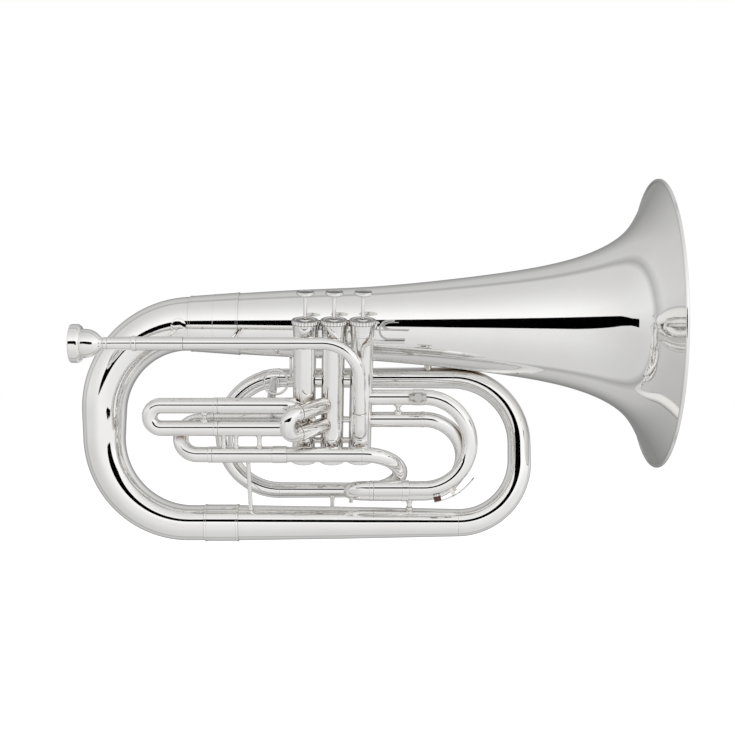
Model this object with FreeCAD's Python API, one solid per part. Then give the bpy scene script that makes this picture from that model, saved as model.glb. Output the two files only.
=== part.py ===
import FreeCAD, Part
import math
import os

# Bell-front three-valve euphonium, silver plated brass, drawn in millimetres.
# Origin: centre of the bell mouth.  +X out of the bell, +Z up, -Y towards the valve side.
V = FreeCAD.Vector
RIGHT = V(1, 0, 0)
LEFT = V(-1, 0, 0)
UP = V(0, 0, 1)
DOWN = V(0, 0, -1)
REAR = V(0, 1, 0)
CENTRE = V(0, 0, 0)

# Bell and large tubing
BELL_MOUTH_R = 146.0
BELL_END_X = -423.0
BELL_END_R = 31.0
SPLICE_X = -448.0
SPLICE_GAP = 0.1
BELL_WALL = 0.9
TUBE_WALL = 0.6
RING_WIDTH = 2.0
BELL_RING_HEIGHT = 1.2
LOWER_RING_HEIGHT = 1.1
LOWER_FERRULE_X = -458.0
LOWER_FERRULE_LENGTH = 34.0
LONG_TUBE_X = -380.0
BELL_OUTLINE = [(-423.0, 31.0), (-362.0, 34.4), (-286.0, 37.9), (-260.0, 40.0), (-209.0, 45.2),
                (-159.0, 51.5), (-98.0, 62.6), (-58.0, 76.2), (-29.6, 95.6), (-13.8, 119.7), (-2.4, 143.4)]
BIG_BOW_X = -472.8
BIG_BOW_BEND = 87.9
BIG_BOW_TOP_R = 27.4
BRANCH_R = 17.8
BOTTOM_Z = -202.2
LOWER_SPLICE_X = -441.0
RIGHT_BOW_X = -201.8
RIGHT_BOW_LOWER_BEND = 63.5
RIGHT_BOW_UPPER_BEND = 67.5
TOP_BRANCH_Y = 20.0
TOP_BRANCH_Z = -55.2
INNER_BOW_X = -383.6
SPIRAL_Y = 20.0
SPIRAL_Z = -170.8
U_TURN_X = -299.0

# Slides: inner legs run in outer sleeves with a thin grease gap
LEG_R = 7.3
SLEEVE_BORE_R = 7.35
SLEEVE_R = 7.95
LOOP_R = 7.55
SLIDE_GAP = 0.3

LONG_TUBE_Y = -44.5
LONG_TUBE_Z = -130.1
MAIN_UPPER_Y = -30.0
MAIN_UPPER_Z = -97.7
MAIN_JOINT_X = -446.0
MAIN_BOW_X = -460.4

FIRST_UPPER = V(0, -54.0, -81.8)
FIRST_LOWER = V(0, -50.5, -103.9)
FIRST_JOINT_X = -439.7
FIRST_BOW_X = -495.4
FIRST_TURN_X = -376.5
FIRST_TURN_BEND = 12.0

OUTER_TOP = V(0, -40.5, -73.8)
OUTER_BOTTOM = V(0, -37.0, -164.3)
INNER_TOP = V(0, -31.0, -96.1)
INNER_BOTTOM = V(0, -8.0, -171.5)
LOOP_BOW_X = -237.6
THIRD_JOINT_X = -287.6
THIRD_SLEEVE_END_X = -256.0
THIRD_BOW_X = -295.0

# Valve block
VALVE_COUNT = 3
VALVE_PITCH = 27.95
VALVE_TILT = 17.0
VALVE_LEAN = 1.4
VALVE_TOP = V(-354.0, -63.0, 1.9)
CASING_R = 11.2
CASING_BORE_R = 9.6
CASING_NECK_R = 10.5
CAP_R = 13.2
TOP_CAP_LENGTH = 16.0
BOTTOM_CAP_LENGTH = 15.0
VALVE_LENGTH = 147.0
NECK_START = 3.0
PISTON_R = 9.55
PISTON_TOP = 26.0
PISTON_LENGTH = 83.0
PISTON_WALL = 0.8
STEM_R = 1.9
STEM_HOLE_R = 2.15
STROKE = 17.0
BUTTON_R = 8.65
BUTTON_GAP = 22.5
SPRING_R = 6.6
SPRING_WIRE_R = 0.45
SPRING_TURNS = 6
KNURL_COUNT = 36
KNURL_CUT_R = 0.5

# Leadpipe and mouthpiece
LEAD_Y = -77.5
LEAD_Z = -21.4
LEAD_R = 6.1
LEAD_SLEEVE_R = 6.7
LEAD_BEND_X = -336.3
LEAD_BEND = 36.0
RECEIVER_X = -542.8
RECEIVER_END_X = -514.9
LEAD_SLEEVE_END_X = -470.4
MOUTHPIECE_RIM_X = -578.3


def polar(radius, degrees):
    """Offsets of a point at this radius and angle."""
    angle = math.radians(degrees)
    return radius * math.cos(angle), radius * math.sin(angle)


def unit(vector):
    """A copy of the vector with length one."""
    copy = V(vector)
    copy.normalize()
    return copy


def fuse(shapes):
    """One clean solid from shapes that touch or overlap."""
    first = shapes[0]
    if len(shapes) == 1:
        return first
    return first.multiFuse(shapes[1:]).removeSplitter()


def cut(shape, tools):
    """The shape with every tool taken away."""
    for tool in tools:
        shape = shape.cut(tool)
    return shape


def rod(start, end, radius):
    """A round bar between two points."""
    return Part.makeCylinder(radius, (end - start).Length, start, end - start)


def turned(profile, start, axis):
    """A body turned from (distance along the axis, radius) corners."""
    points = [V(r, 0, s) for s, r in profile]
    face = Part.Face(Part.makePolygon(points + [points[0]]))
    solid = face.revolve(CENTRE, UP, 360)
    solid.Placement = FreeCAD.Placement(start, FreeCAD.Rotation(UP, axis))
    return solid


class Run:
    """The centre line of a tube, followed piece by piece, with its outside radius at each joint."""

    def __init__(self, start, heading, radius):
        self.point = V(start)
        self.heading = unit(heading)
        self.radius = radius
        self.pieces = []

    def straight(self, length, radius=None):
        end_radius = self.radius if radius is None else radius
        self.pieces.append(("straight", V(self.point), V(self.heading), self.radius, end_radius, length))
        self.point = self.point + self.heading * length
        self.radius = end_radius
        return self

    def bend(self, bend_radius, degrees, toward, radius=None):
        end_radius = self.radius if radius is None else radius
        side = unit(toward)
        hub = self.point + side * bend_radius
        axis = self.heading.cross(side)
        start = (V(self.point), V(self.heading), self.radius, end_radius)
        self.pieces.append(("bend",) + start + (hub, axis, degrees))
        turn = FreeCAD.Rotation(axis, degrees)
        self.point = hub + turn.multVec(self.point - hub)
        self.heading = unit(turn.multVec(self.heading))
        self.radius = end_radius
        return self

    def solid(self, growth=0.0):
        """The run as one solid, thicker than the outside by the growth."""
        return fuse([piece_solid(piece, growth) for piece in self.pieces])

    def tube(self, wall=TUBE_WALL):
        """The run as a tube with an open bore."""
        return fuse([piece_tube(piece, wall) for piece in self.pieces])


def piece_tube(piece, wall):
    """One straight or bend of a run as a tube."""
    kind, point, heading, r_start, r_end = piece[:5]
    if abs(r_start - r_end) > 1e-6:
        return piece_solid(piece, 0.0).cut(piece_solid(piece, -wall))
    outer = Part.Face(Part.Wire(Part.makeCircle(r_start, point, heading)))
    inner = Part.Face(Part.Wire(Part.makeCircle(r_start - wall, point, heading)))
    ring = outer.cut(inner).Faces[0]
    if kind == "straight":
        return ring.extrude(heading * piece[5])
    return ring.revolve(piece[5], piece[6], piece[7])


def piece_solid(piece, growth):
    """One straight or bend of a run."""
    kind, point, heading, r_start, r_end = piece[:5]
    r_start = r_start + growth
    r_end = r_end + growth
    if kind == "straight":
        if abs(r_start - r_end) < 1e-6:
            return Part.makeCylinder(r_start, piece[5], point, heading)
        return Part.makeCone(r_start, r_end, piece[5], point, heading)
    hub, axis, degrees = piece[5:]
    if abs(r_start - r_end) < 1e-6:
        face = Part.Face(Part.Wire(Part.makeCircle(r_start, point, heading)))
        return face.revolve(hub, axis, degrees)
    steps = max(6, int(degrees / 9.0))
    rings = []
    for step in range(steps + 1):
        share = step / steps
        ring = Part.Wire(Part.makeCircle(r_start + (r_end - r_start) * share, point, heading))
        ring.rotate(hub, axis, degrees * share)
        rings.append(ring)
    return Part.makeLoft(rings, True, False)


def band(run, wall):
    """A short ferrule shrunk over a run."""
    return run.solid(wall).cut(run.solid())


# ---------------------------------------------------------------- valve block frame

def valve_frame():
    """Up along the pistons, towards the rear, and to the right across the valves."""
    lean = math.radians(VALVE_LEAN)
    tilt = math.radians(VALVE_TILT)
    upward = V(math.sin(lean), -math.sin(tilt) * math.cos(lean), math.cos(tilt) * math.cos(lean))
    rearward = unit(REAR - upward * REAR.dot(upward))
    return upward, rearward, rearward.cross(upward)


VALVE_UP, VALVE_REAR, VALVE_SIDE = valve_frame()


def on_valve(index, depth, side=0.0, rear=0.0):
    """A point measured down valve 0, 1 or 2 from the top of its cap."""
    top = VALVE_TOP + RIGHT * (VALVE_PITCH * index)
    return top - VALVE_UP * depth + VALVE_SIDE * side + VALVE_REAR * rear


def casing_core(index):
    """The outside of one casing as a plain cylinder."""
    return rod(on_valve(index, NECK_START), on_valve(index, VALVE_LENGTH - NECK_START), CASING_R)


def depth_at(z):
    """How far down a valve its axis reaches a height."""
    return (VALVE_TOP.z - z) / VALVE_UP.z


# ---------------------------------------------------------------- runs of tubing

def big_bow_run():
    start_x = SPLICE_X - SPLICE_GAP
    run = Run(V(start_x, 0, 0), LEFT, ferrule_bore(start_x))
    run.straight(start_x - BIG_BOW_X, BIG_BOW_TOP_R)
    run.bend(BIG_BOW_BEND, 90, DOWN, 22.5)
    run.straight(-BOTTOM_Z - 2 * BIG_BOW_BEND, 21.3)
    run.bend(BIG_BOW_BEND, 90, RIGHT, BRANCH_R)
    return run.straight(LOWER_SPLICE_X - SPLICE_GAP - BIG_BOW_X)


def ferrule_bore(x):
    """Outside radius of the tubing inside the long ferrule."""
    share = (x - BIG_BOW_X) / (BELL_END_X - BIG_BOW_X)
    return BIG_BOW_TOP_R + (BELL_END_R - BIG_BOW_TOP_R) * share


def bottom_branch_run():
    run = Run(V(LOWER_SPLICE_X, 0, BOTTOM_Z), RIGHT, BRANCH_R)
    run.straight(17.0)
    run.straight(104.0, 16.3)
    return run.straight(RIGHT_BOW_X - LOWER_SPLICE_X - 121.0, 13.9)


def right_bow_run():
    rise = V(0, TOP_BRANCH_Y, TOP_BRANCH_Z - BOTTOM_Z)
    run = Run(V(RIGHT_BOW_X, 0, BOTTOM_Z), RIGHT, 13.9)
    run.bend(RIGHT_BOW_LOWER_BEND, 90, rise, 11.9)
    run.straight(rise.Length - RIGHT_BOW_LOWER_BEND - RIGHT_BOW_UPPER_BEND, 11.7)
    return run.bend(RIGHT_BOW_UPPER_BEND, 90, LEFT, 11.0)


def top_branch_run():
    start_x = RIGHT_BOW_X + RIGHT_BOW_LOWER_BEND - RIGHT_BOW_UPPER_BEND
    run = Run(V(start_x, TOP_BRANCH_Y, TOP_BRANCH_Z), LEFT, 11.0)
    return run.straight(start_x - INNER_BOW_X, 9.5)


def inner_bow_run(degrees=180):
    drop = V(0, SPIRAL_Y - TOP_BRANCH_Y, SPIRAL_Z - TOP_BRANCH_Z)
    run = Run(V(INNER_BOW_X, TOP_BRANCH_Y, TOP_BRANCH_Z), LEFT, 9.5)
    return run.bend(drop.Length / 2, degrees, drop, 9.5 - degrees * 1.3 / 180)


def spiral_run():
    run = Run(V(INNER_BOW_X, SPIRAL_Y, SPIRAL_Z), RIGHT, 8.2)
    return run.straight(U_TURN_X - INNER_BOW_X, 7.6)


def u_turn_run():
    across = V(0, SPIRAL_Y - LONG_TUBE_Y, SPIRAL_Z - LONG_TUBE_Z)
    run = Run(V(U_TURN_X, LONG_TUBE_Y, LONG_TUBE_Z), RIGHT, LOOP_R)
    return run.bend(across.Length / 2, 180, across, 7.6)


def long_tube_run():
    run = Run(V(LONG_TUBE_X, LONG_TUBE_Y, LONG_TUBE_Z), RIGHT, LOOP_R)
    return run.straight(U_TURN_X - LONG_TUBE_X)


def main_lower_sleeve_run():
    run = Run(V(MAIN_JOINT_X + SLIDE_GAP, LONG_TUBE_Y, LONG_TUBE_Z), RIGHT, SLEEVE_R)
    return run.straight(LONG_TUBE_X - 0.1 - MAIN_JOINT_X - SLIDE_GAP)


def main_upper_sleeve_run():
    run = Run(V(MAIN_JOINT_X + SLIDE_GAP, MAIN_UPPER_Y, MAIN_UPPER_Z), RIGHT, SLEEVE_R)
    return run.straight(-356.0 - MAIN_JOINT_X - SLIDE_GAP)


def first_sleeve_run(start, reach):
    run = Run(V(FIRST_JOINT_X + SLIDE_GAP, start.y, start.z), RIGHT, SLEEVE_R)
    run.straight(FIRST_TURN_X - FIRST_JOINT_X - SLIDE_GAP)
    run.bend(FIRST_TURN_BEND, 90, REAR)
    return run.straight(reach)


def second_direction():
    """The second slide leaves its valve forwards and to the left, square to the piston."""
    return unit(VALVE_REAR * -1.0 - VALVE_SIDE * 0.95)


SECOND_UPPER_DEPTH = 85.0
SECOND_LOWER_DEPTH = 106.0
SECOND_BOW_REACH = 49.8
SECOND_JOINT_REACH = 45.2


def second_leg_run(depth, start, end, radius):
    run = Run(on_valve(1, depth) + second_direction() * start, second_direction(), radius)
    return run.straight(end - start)


def outer_loop_run():
    drop = OUTER_BOTTOM - OUTER_TOP
    run = Run(V(on_valve(2, depth_at(OUTER_TOP.z)).x, OUTER_TOP.y, OUTER_TOP.z), RIGHT, LOOP_R)
    run.straight(LOOP_BOW_X - run.point.x)
    run.bend(drop.Length / 2, 180, drop)
    return run.straight(LOOP_BOW_X - THIRD_SLEEVE_END_X)


def inner_loop_run():
    drop = INNER_BOTTOM - INNER_TOP
    run = Run(V(on_valve(2, depth_at(INNER_TOP.z)).x, INNER_TOP.y, INNER_TOP.z), RIGHT, LOOP_R)
    run.straight(LOOP_BOW_X - run.point.x)
    run.bend(drop.Length / 2, 180, drop)
    return run.straight(LOOP_BOW_X - THIRD_SLEEVE_END_X)


def third_sleeve_run(level):
    run = Run(V(THIRD_JOINT_X + SLIDE_GAP, level.y, level.z), RIGHT, SLEEVE_R)
    return run.straight(THIRD_SLEEVE_END_X - 0.1 - THIRD_JOINT_X - SLIDE_GAP)


def lead_sleeve_run():
    run = Run(V(RECEIVER_END_X, LEAD_Y, LEAD_Z), RIGHT, LEAD_SLEEVE_R)
    return run.straight(LEAD_SLEEVE_END_X - RECEIVER_END_X)


def leadpipe_run():
    run = Run(V(LEAD_SLEEVE_END_X + 0.1, LEAD_Y, LEAD_Z), RIGHT, LEAD_R)
    run.straight(LEAD_BEND_X - run.point.x)
    run.bend(LEAD_BEND, 90, VALVE_UP * -1.0, LEAD_R)
    return run.straight(40.0)


def lead_elbow_run():
    end = leadpipe_run()
    run = Run(end.point, end.heading, LEAD_SLEEVE_R)
    run.straight(7.5)
    run.bend(9.0, 90, VALVE_REAR)
    return run.straight(14.0)


# ---------------------------------------------------------------- bell and large tubing

def bell_face(outline, wall):
    """The bell's wall as a closed outline beside the axis."""
    outer = Part.BSplineCurve()
    outer.interpolate([V(x, 0, r) for x, r in outline])
    inner_points = []
    for index, (x, r) in enumerate(outline):
        before = outline[max(index - 1, 0)]
        after = outline[min(index + 1, len(outline) - 1)]
        slope = (after[1] - before[1]) / (after[0] - before[0])
        scale = wall / math.hypot(1.0, slope)
        inner_points.append(V(x + scale * slope * (index > 0), 0, r - scale))
    inner = Part.BSplineCurve()
    inner.interpolate(inner_points)
    near = Part.makeLine(V(outline[0][0], 0, outline[0][1]), inner_points[0])
    far = Part.makeLine(V(outline[-1][0], 0, outline[-1][1]), inner_points[-1])
    return Part.Face(Part.Wire([near, outer.toShape(), far, inner.toShape()]))


def bell_tail_run():
    run = Run(V(SPLICE_X, 0, 0), RIGHT, ferrule_bore(SPLICE_X))
    return run.straight(BELL_END_X - SPLICE_X, BELL_END_R)


def bell_ferrule_run():
    run = Run(V(BIG_BOW_X, 0, 0), RIGHT, BIG_BOW_TOP_R)
    return run.straight(BELL_END_X - BIG_BOW_X, BELL_END_R)


def make_bell():
    flare = bell_face(BELL_OUTLINE, BELL_WALL).revolve(CENTRE, RIGHT, 360)
    tail = bell_tail_run().solid().cut(bell_tail_run().solid(-BELL_WALL))
    return fuse([flare, tail]).cut(make_bell_rim())


def bell_host():
    """The bell's outside as a solid, for fitting braces against it."""
    outer = Part.BSplineCurve()
    outer.interpolate([V(x, 0, r) for x, r in BELL_OUTLINE])
    start_x, start_r = BELL_OUTLINE[0]
    end_x, end_r = BELL_OUTLINE[-1]
    sides = [Part.makeLine(V(start_x, 0, start_r), V(start_x, 0, 0)),
             Part.makeLine(V(start_x, 0, 0), V(end_x, 0, 0)),
             Part.makeLine(V(end_x, 0, 0), V(end_x, 0, end_r))]
    flare = Part.Face(Part.Wire(Part.__sortEdges__(sides + [outer.toShape()])))
    return flare.revolve(CENTRE, RIGHT, 360)


def make_bell_rim():
    """The wired edge of the bell, flat across its front."""
    inner_r = BELL_MOUTH_R - 3.2
    profile = [(-3.4, inner_r), (-3.4, BELL_MOUTH_R - 1.0), (-2.4, BELL_MOUTH_R), (-1.0, BELL_MOUTH_R),
               (0.0, BELL_MOUTH_R - 1.0), (0.0, inner_r)]
    return turned(profile, CENTRE, RIGHT)


def make_bell_ferrule():
    """The long tapered ferrule that joins the bell to the big bow."""
    sleeve = bell_ferrule_run().solid(0.7)
    left = Run(V(BIG_BOW_X, 0, 0), RIGHT, BIG_BOW_TOP_R)
    left.straight(RING_WIDTH, ferrule_bore(BIG_BOW_X + RING_WIDTH))
    right_x = BELL_END_X - RING_WIDTH
    right = Run(V(right_x, 0, 0), RIGHT, ferrule_bore(right_x)).straight(RING_WIDTH, BELL_END_R)
    rings = [left.solid(BELL_RING_HEIGHT), right.solid(BELL_RING_HEIGHT)]
    return fuse([sleeve] + rings).cut(bell_ferrule_run().solid())


def make_lower_ferrule():
    """The ferrule that joins the big bow to the bottom branch, with a ring at each end."""
    end_x = LOWER_FERRULE_X + LOWER_FERRULE_LENGTH
    run = Run(V(LOWER_FERRULE_X, 0, BOTTOM_Z), RIGHT, BRANCH_R).straight(LOWER_FERRULE_LENGTH)
    left = Run(V(LOWER_FERRULE_X, 0, BOTTOM_Z), RIGHT, BRANCH_R).straight(RING_WIDTH)
    right = Run(V(end_x - RING_WIDTH, 0, BOTTOM_Z), RIGHT, BRANCH_R).straight(RING_WIDTH)
    rings = [left.solid(LOWER_RING_HEIGHT), right.solid(LOWER_RING_HEIGHT)]
    return fuse([run.solid(0.6)] + rings).cut(run.solid())


def make_inner_bow_ferrule():
    return band(inner_bow_run(17), 0.45)


# ---------------------------------------------------------------- valves

def knurl(solid, start, axis, length, radius):
    """Cuts fine grooves round a turned grip."""
    reference = unit(axis.cross(REAR))
    cutters = []
    for index in range(KNURL_COUNT):
        spin = FreeCAD.Rotation(axis, index * 360.0 / KNURL_COUNT)
        foot = start + spin.multVec(reference * (radius + 0.15))
        cutters.append(rod(foot, foot + axis * length, KNURL_CUT_R))
    return solid.cut(Part.makeCompound(cutters))


def make_top_cap(index):
    """Screwed cap with a grooved grip, a tapered skirt and a hole for the stem."""
    profile = [(-0.6, STEM_HOLE_R), (-0.6, 4.6), (0.6, 5.2), (0.6, 9.8), (0.0, 10.6), (0.0, CAP_R - 0.5),
               (0.5, CAP_R), (3.4, CAP_R), (3.9, CAP_R - 0.5), (7.0, CAP_R - 1.0), (11.0, CAP_R - 1.4),
               (TOP_CAP_LENGTH, CASING_R + 0.3), (TOP_CAP_LENGTH, CASING_NECK_R),
               (NECK_START, CASING_NECK_R), (NECK_START - 0.3, STEM_HOLE_R)]
    axis = VALVE_UP * -1.0
    cap = turned(profile, on_valve(index, 0), axis)
    return knurl(cap, on_valve(index, 0.4), axis, 3.1, CAP_R)


def make_bottom_cap(index):
    """Screwed cap closing the foot of a casing, with a grooved grip and a small boss."""
    end = VALVE_LENGTH
    start = end - BOTTOM_CAP_LENGTH
    grip_r = 12.7
    profile = [(start, CASING_NECK_R), (start, CASING_R + 0.3), (start + 6.0, 12.2), (start + 7.0, grip_r),
               (end - 1.0, grip_r), (end - 0.4, grip_r - 0.6), (end - 0.4, 8.5), (end - 1.2, 8.0),
               (end - 1.2, 4.0), (end, 3.2), (end, 0.0), (end - NECK_START, 0.0),
               (end - NECK_START, CASING_NECK_R)]
    axis = VALVE_UP * -1.0
    cap = turned(profile, on_valve(index, 0), axis)
    return knurl(cap, on_valve(index, start + 7.4), axis, 6.2, grip_r)


def make_casing(index):
    """A casing with threaded necks, bored for the piston and for the tubes it meets."""
    axis = VALVE_UP * -1.0
    bottom = VALVE_LENGTH - NECK_START
    profile = [(NECK_START, CASING_BORE_R), (NECK_START, CASING_NECK_R), (TOP_CAP_LENGTH, CASING_NECK_R),
               (TOP_CAP_LENGTH, CASING_R), (VALVE_LENGTH - BOTTOM_CAP_LENGTH, CASING_R),
               (VALVE_LENGTH - BOTTOM_CAP_LENGTH, CASING_NECK_R), (bottom, CASING_NECK_R),
               (bottom, CASING_BORE_R)]
    casing = turned(profile, on_valve(index, 0), axis)
    return cut(casing, casing_ports(index))


def port(index, depth, outward):
    centre = on_valve(index, depth)
    return rod(centre, centre + outward * (CASING_R + 2.0), PORT_R)


def casing_ports(index):
    """Where the tubes of each casing open into it."""
    main_depth = depth_at(MAIN_UPPER_Z)
    link_left = port(index, LINK_DEPTH, VALVE_SIDE * -1.0)
    link_right = port(index, LINK_DEPTH, VALVE_SIDE)
    first = [port(0, depth_at(z) - 1.0, VALVE_REAR * -1.0) for z in (FIRST_UPPER.z, FIRST_LOWER.z)]
    second = [port(1, depth, second_direction()) for depth in (SECOND_UPPER_DEPTH, SECOND_LOWER_DEPTH)]
    third = [port(2, depth_at(z), VALVE_SIDE) for z in (OUTER_TOP.z, INNER_TOP.z)]
    main_port = port(0, main_depth, VALVE_SIDE * -1.0)
    lead_port = port(2, LEAD_PORT_DEPTH, VALVE_REAR * -1.0)
    table = [[main_port, link_right] + first, [link_left, link_right] + second,
             [link_left, lead_port] + third]
    return table[index]


LINK_DEPTH = 61.0
LINK_R = 6.3
TIE_R = 3.0
VALVE_TIES = (((LINK_DEPTH, LINK_R), (124.0, TIE_R)),
              ((LINK_DEPTH, LINK_R), (102.0, TIE_R), (124.0, TIE_R)))
PORT_R = 5.6
LEAD_PORT_DEPTH = 118.0
PISTON_PASSAGES = ((20.0, 0.0), (37.0, 90.0), (56.0, 45.0))


def make_piston(index):
    """A hollow piston with three cross passages and a dished top."""
    axis = VALVE_UP * -1.0
    top = PISTON_TOP
    bottom = PISTON_TOP + PISTON_LENGTH
    profile = [(top + 1.5, 0.0), (top + 1.5, 7.6), (top, 8.6), (top, PISTON_R), (bottom, PISTON_R),
               (bottom, PISTON_R - PISTON_WALL), (bottom - 9.0, PISTON_R - PISTON_WALL), (bottom - 10.0, 0.0)]
    piston = turned(profile, on_valve(index, 0), axis)
    for depth, heading in PISTON_PASSAGES:
        across, behind = polar(CASING_R, heading)
        offset = VALVE_SIDE * across + VALVE_REAR * behind
        middle = on_valve(index, top + depth)
        piston = piston.cut(rod(middle - offset, middle + offset, PORT_R))
    return piston


def make_stem(index):
    """The rod between a piston and its button."""
    axis = VALVE_UP * -1.0
    profile = [(-BUTTON_GAP, 0.0), (-BUTTON_GAP, STEM_R), (PISTON_TOP - 2.0, STEM_R),
               (PISTON_TOP - 2.0, 4.2), (PISTON_TOP + 1.5, 4.2), (PISTON_TOP + 1.5, 0.0)]
    return turned(profile, on_valve(index, 0), axis)


def make_button(index):
    """A dished finger button with a raised rim and a collar under it."""
    profile = [(0.0, 0.0), (0.0, 3.2), (1.3, 3.4), (2.1, 7.9), (2.9, BUTTON_R), (4.9, BUTTON_R),
               (5.6, BUTTON_R - 0.5), (5.6, BUTTON_R - 1.3), (5.0, BUTTON_R - 2.6), (4.5, 0.0)]
    return turned(profile, on_valve(index, -BUTTON_GAP), VALVE_UP)


def make_spring(index):
    """The return spring under a piston, standing on the bottom cap: half rings that climb by turns."""
    floor_depth = VALVE_LENGTH - NECK_START - SPRING_WIRE_R - 0.1
    height = floor_depth - (PISTON_TOP + PISTON_LENGTH - 9.0) - SPRING_WIRE_R - 0.3
    run = Run(V(SPRING_R, 0, 0), REAR, SPRING_WIRE_R)
    for half in range(2 * SPRING_TURNS):
        side = 1 if half % 2 else -1
        across = V(2 * SPRING_R * side, 0, height / (2 * SPRING_TURNS))
        run.bend(across.Length / 2, 180, across)
    coil = run.solid()
    coil.Placement = FreeCAD.Placement(on_valve(index, floor_depth), FreeCAD.Rotation(UP, VALVE_UP))
    return coil


def make_valve_links():
    """Short tubes and flat ties that hold the three casings side by side."""
    links = []
    for index in range(VALVE_COUNT - 1):
        for depth, radius in VALVE_TIES[index]:
            start = on_valve(index, depth)
            end = start + VALVE_SIDE * VALVE_PITCH
            link = rod(start, end, radius)
            if depth == LINK_DEPTH:
                link = link.cut(rod(start, end, radius - TUBE_WALL))
            links.append(cut(link, [casing_core(index), casing_core(index + 1)]))
    return Part.makeCompound(links)


# ---------------------------------------------------------------- slides

def crook_run(upper, lower, bow_x, joint_x):
    """The full-size part of a slide that pulls to the left."""
    across = lower - upper
    run = Run(V(joint_x, upper.y, upper.z), LEFT, LOOP_R)
    run.straight(joint_x - bow_x)
    run.bend(across.Length / 2, 180, across)
    return run.straight(joint_x - bow_x)


def crook(upper, lower, bow_x, joint_x, leg_reach):
    """A slide: a bow, two collared legs of full size, and two thinner inner legs."""
    body = [crook_run(upper, lower, bow_x, joint_x).tube()]
    lap = min(12.0, joint_x - bow_x - 0.5)
    for level in (upper, lower):
        leg = Run(V(joint_x - lap, level.y, level.z), RIGHT, LEG_R).straight(lap + leg_reach)
        body.append(leg.solid().cut(leg.solid(-0.45)))
        collar = Run(V(joint_x - 4.0, level.y, level.z), RIGHT, LOOP_R).straight(4.0)
        body.append(collar.solid(0.4).cut(collar.solid(-0.3)))
    return fuse(body)


def make_main_slide():
    upper = V(0, MAIN_UPPER_Y, MAIN_UPPER_Z)
    lower = V(0, LONG_TUBE_Y, LONG_TUBE_Z)
    return crook(upper, lower, MAIN_BOW_X, MAIN_JOINT_X, 60.0)


def make_first_slide():
    return crook(FIRST_UPPER, FIRST_LOWER, FIRST_BOW_X, FIRST_JOINT_X, 58.0)


def make_third_slide():
    body = crook(OUTER_BOTTOM, INNER_BOTTOM, THIRD_BOW_X, THIRD_JOINT_X, 30.0)
    across = INNER_BOTTOM - OUTER_BOTTOM
    apex = V(THIRD_BOW_X - across.Length / 2, 0, 0) + (OUTER_BOTTOM + INNER_BOTTOM) * 0.5
    below = unit(RIGHT.cross(across) * -1.0)
    profile = [(0.0, 0.0), (0.0, 2.6), (LOOP_R + 0.8, 2.6), (LOOP_R + 1.8, 1.5), (LOOP_R + 2.4, 2.4),
               (LOOP_R + 4.2, 2.4), (LOOP_R + 4.8, 1.6), (LOOP_R + 4.8, 0.0)]
    knob = turned(profile, apex, below)
    knob = knob.cut(crook_run(OUTER_BOTTOM, INNER_BOTTOM, THIRD_BOW_X, THIRD_JOINT_X).solid())
    return Part.makeCompound([body, knob])


def make_second_slide():
    """The short slide of the middle valve."""
    way = second_direction()
    upper = on_valve(1, SECOND_UPPER_DEPTH)
    lower = on_valve(1, SECOND_LOWER_DEPTH)
    start = SECOND_JOINT_REACH + SLIDE_GAP
    run = Run(upper + way * start, way, LOOP_R)
    run.straight(SECOND_BOW_REACH - start)
    run.bend((SECOND_LOWER_DEPTH - SECOND_UPPER_DEPTH) / 2, 180, VALVE_UP * -1.0)
    run.straight(SECOND_BOW_REACH - start)
    body = [run.tube()]
    for level in (upper, lower):
        leg = Run(level + way * (start - 26.0), way, LEG_R).straight(29.5)
        body.append(leg.solid().cut(leg.solid(-0.45)))
        collar = Run(level + way * start, way, LOOP_R).straight(3.0)
        body.append(collar.solid(0.4).cut(collar.solid(-0.3)))
    return fuse(body)


def make_second_sleeves():
    parts = []
    for depth in (SECOND_UPPER_DEPTH, SECOND_LOWER_DEPTH):
        run = second_leg_run(depth, 0.0, SECOND_JOINT_REACH, SLEEVE_R)
        parts.append(run.tube().cut(casing_core(1)))
    return Part.makeCompound(parts)


def make_first_sleeves():
    parts = []
    neighbour = main_upper_sleeve_run().solid()
    for level in (FIRST_UPPER, FIRST_LOWER):
        parts.append(cut(first_sleeve_run(level, 5.0).tube(), [casing_core(0), neighbour]))
    return Part.makeCompound(parts)


def make_main_upper_sleeve():
    return main_upper_sleeve_run().tube().cut(casing_core(0))


def make_main_lower_sleeve():
    return main_lower_sleeve_run().tube()


def make_main_ferrule():
    sleeve = Run(V(-386.8, LONG_TUBE_Y, LONG_TUBE_Z), RIGHT, SLEEVE_R).straight(6.7)
    tube = Run(V(-380.1, LONG_TUBE_Y, LONG_TUBE_Z), RIGHT, LOOP_R).straight(7.4)
    return cut(fuse([sleeve.solid(0.5), tube.solid(0.9)]), [sleeve.solid(), tube.solid()])


def make_third_sleeves():
    return Part.makeCompound([third_sleeve_run(level).tube() for level in (OUTER_BOTTOM, INNER_BOTTOM)])


def make_third_ferrules():
    """Rings where the slide sleeves meet the bows, and one on the outer loop's top leg."""
    parts = []
    for level in (OUTER_BOTTOM, INNER_BOTTOM):
        left = Run(V(THIRD_SLEEVE_END_X - 3.0, level.y, level.z), RIGHT, SLEEVE_R).straight(2.9)
        right = Run(V(THIRD_SLEEVE_END_X - 0.1, level.y, level.z), RIGHT, LOOP_R).straight(3.6)
        parts.append(cut(fuse([left.solid(0.4), right.solid(0.8)]), [left.solid(), right.solid()]))
    for level, length in ((OUTER_TOP, 11.0), (INNER_TOP, 3.0)):
        ring = Run(V(LOOP_BOW_X - length, level.y, level.z), RIGHT, LOOP_R).straight(length)
        parts.append(band(ring, 0.4))
    return Part.makeCompound(parts)


# ---------------------------------------------------------------- leadpipe and mouthpiece

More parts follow.
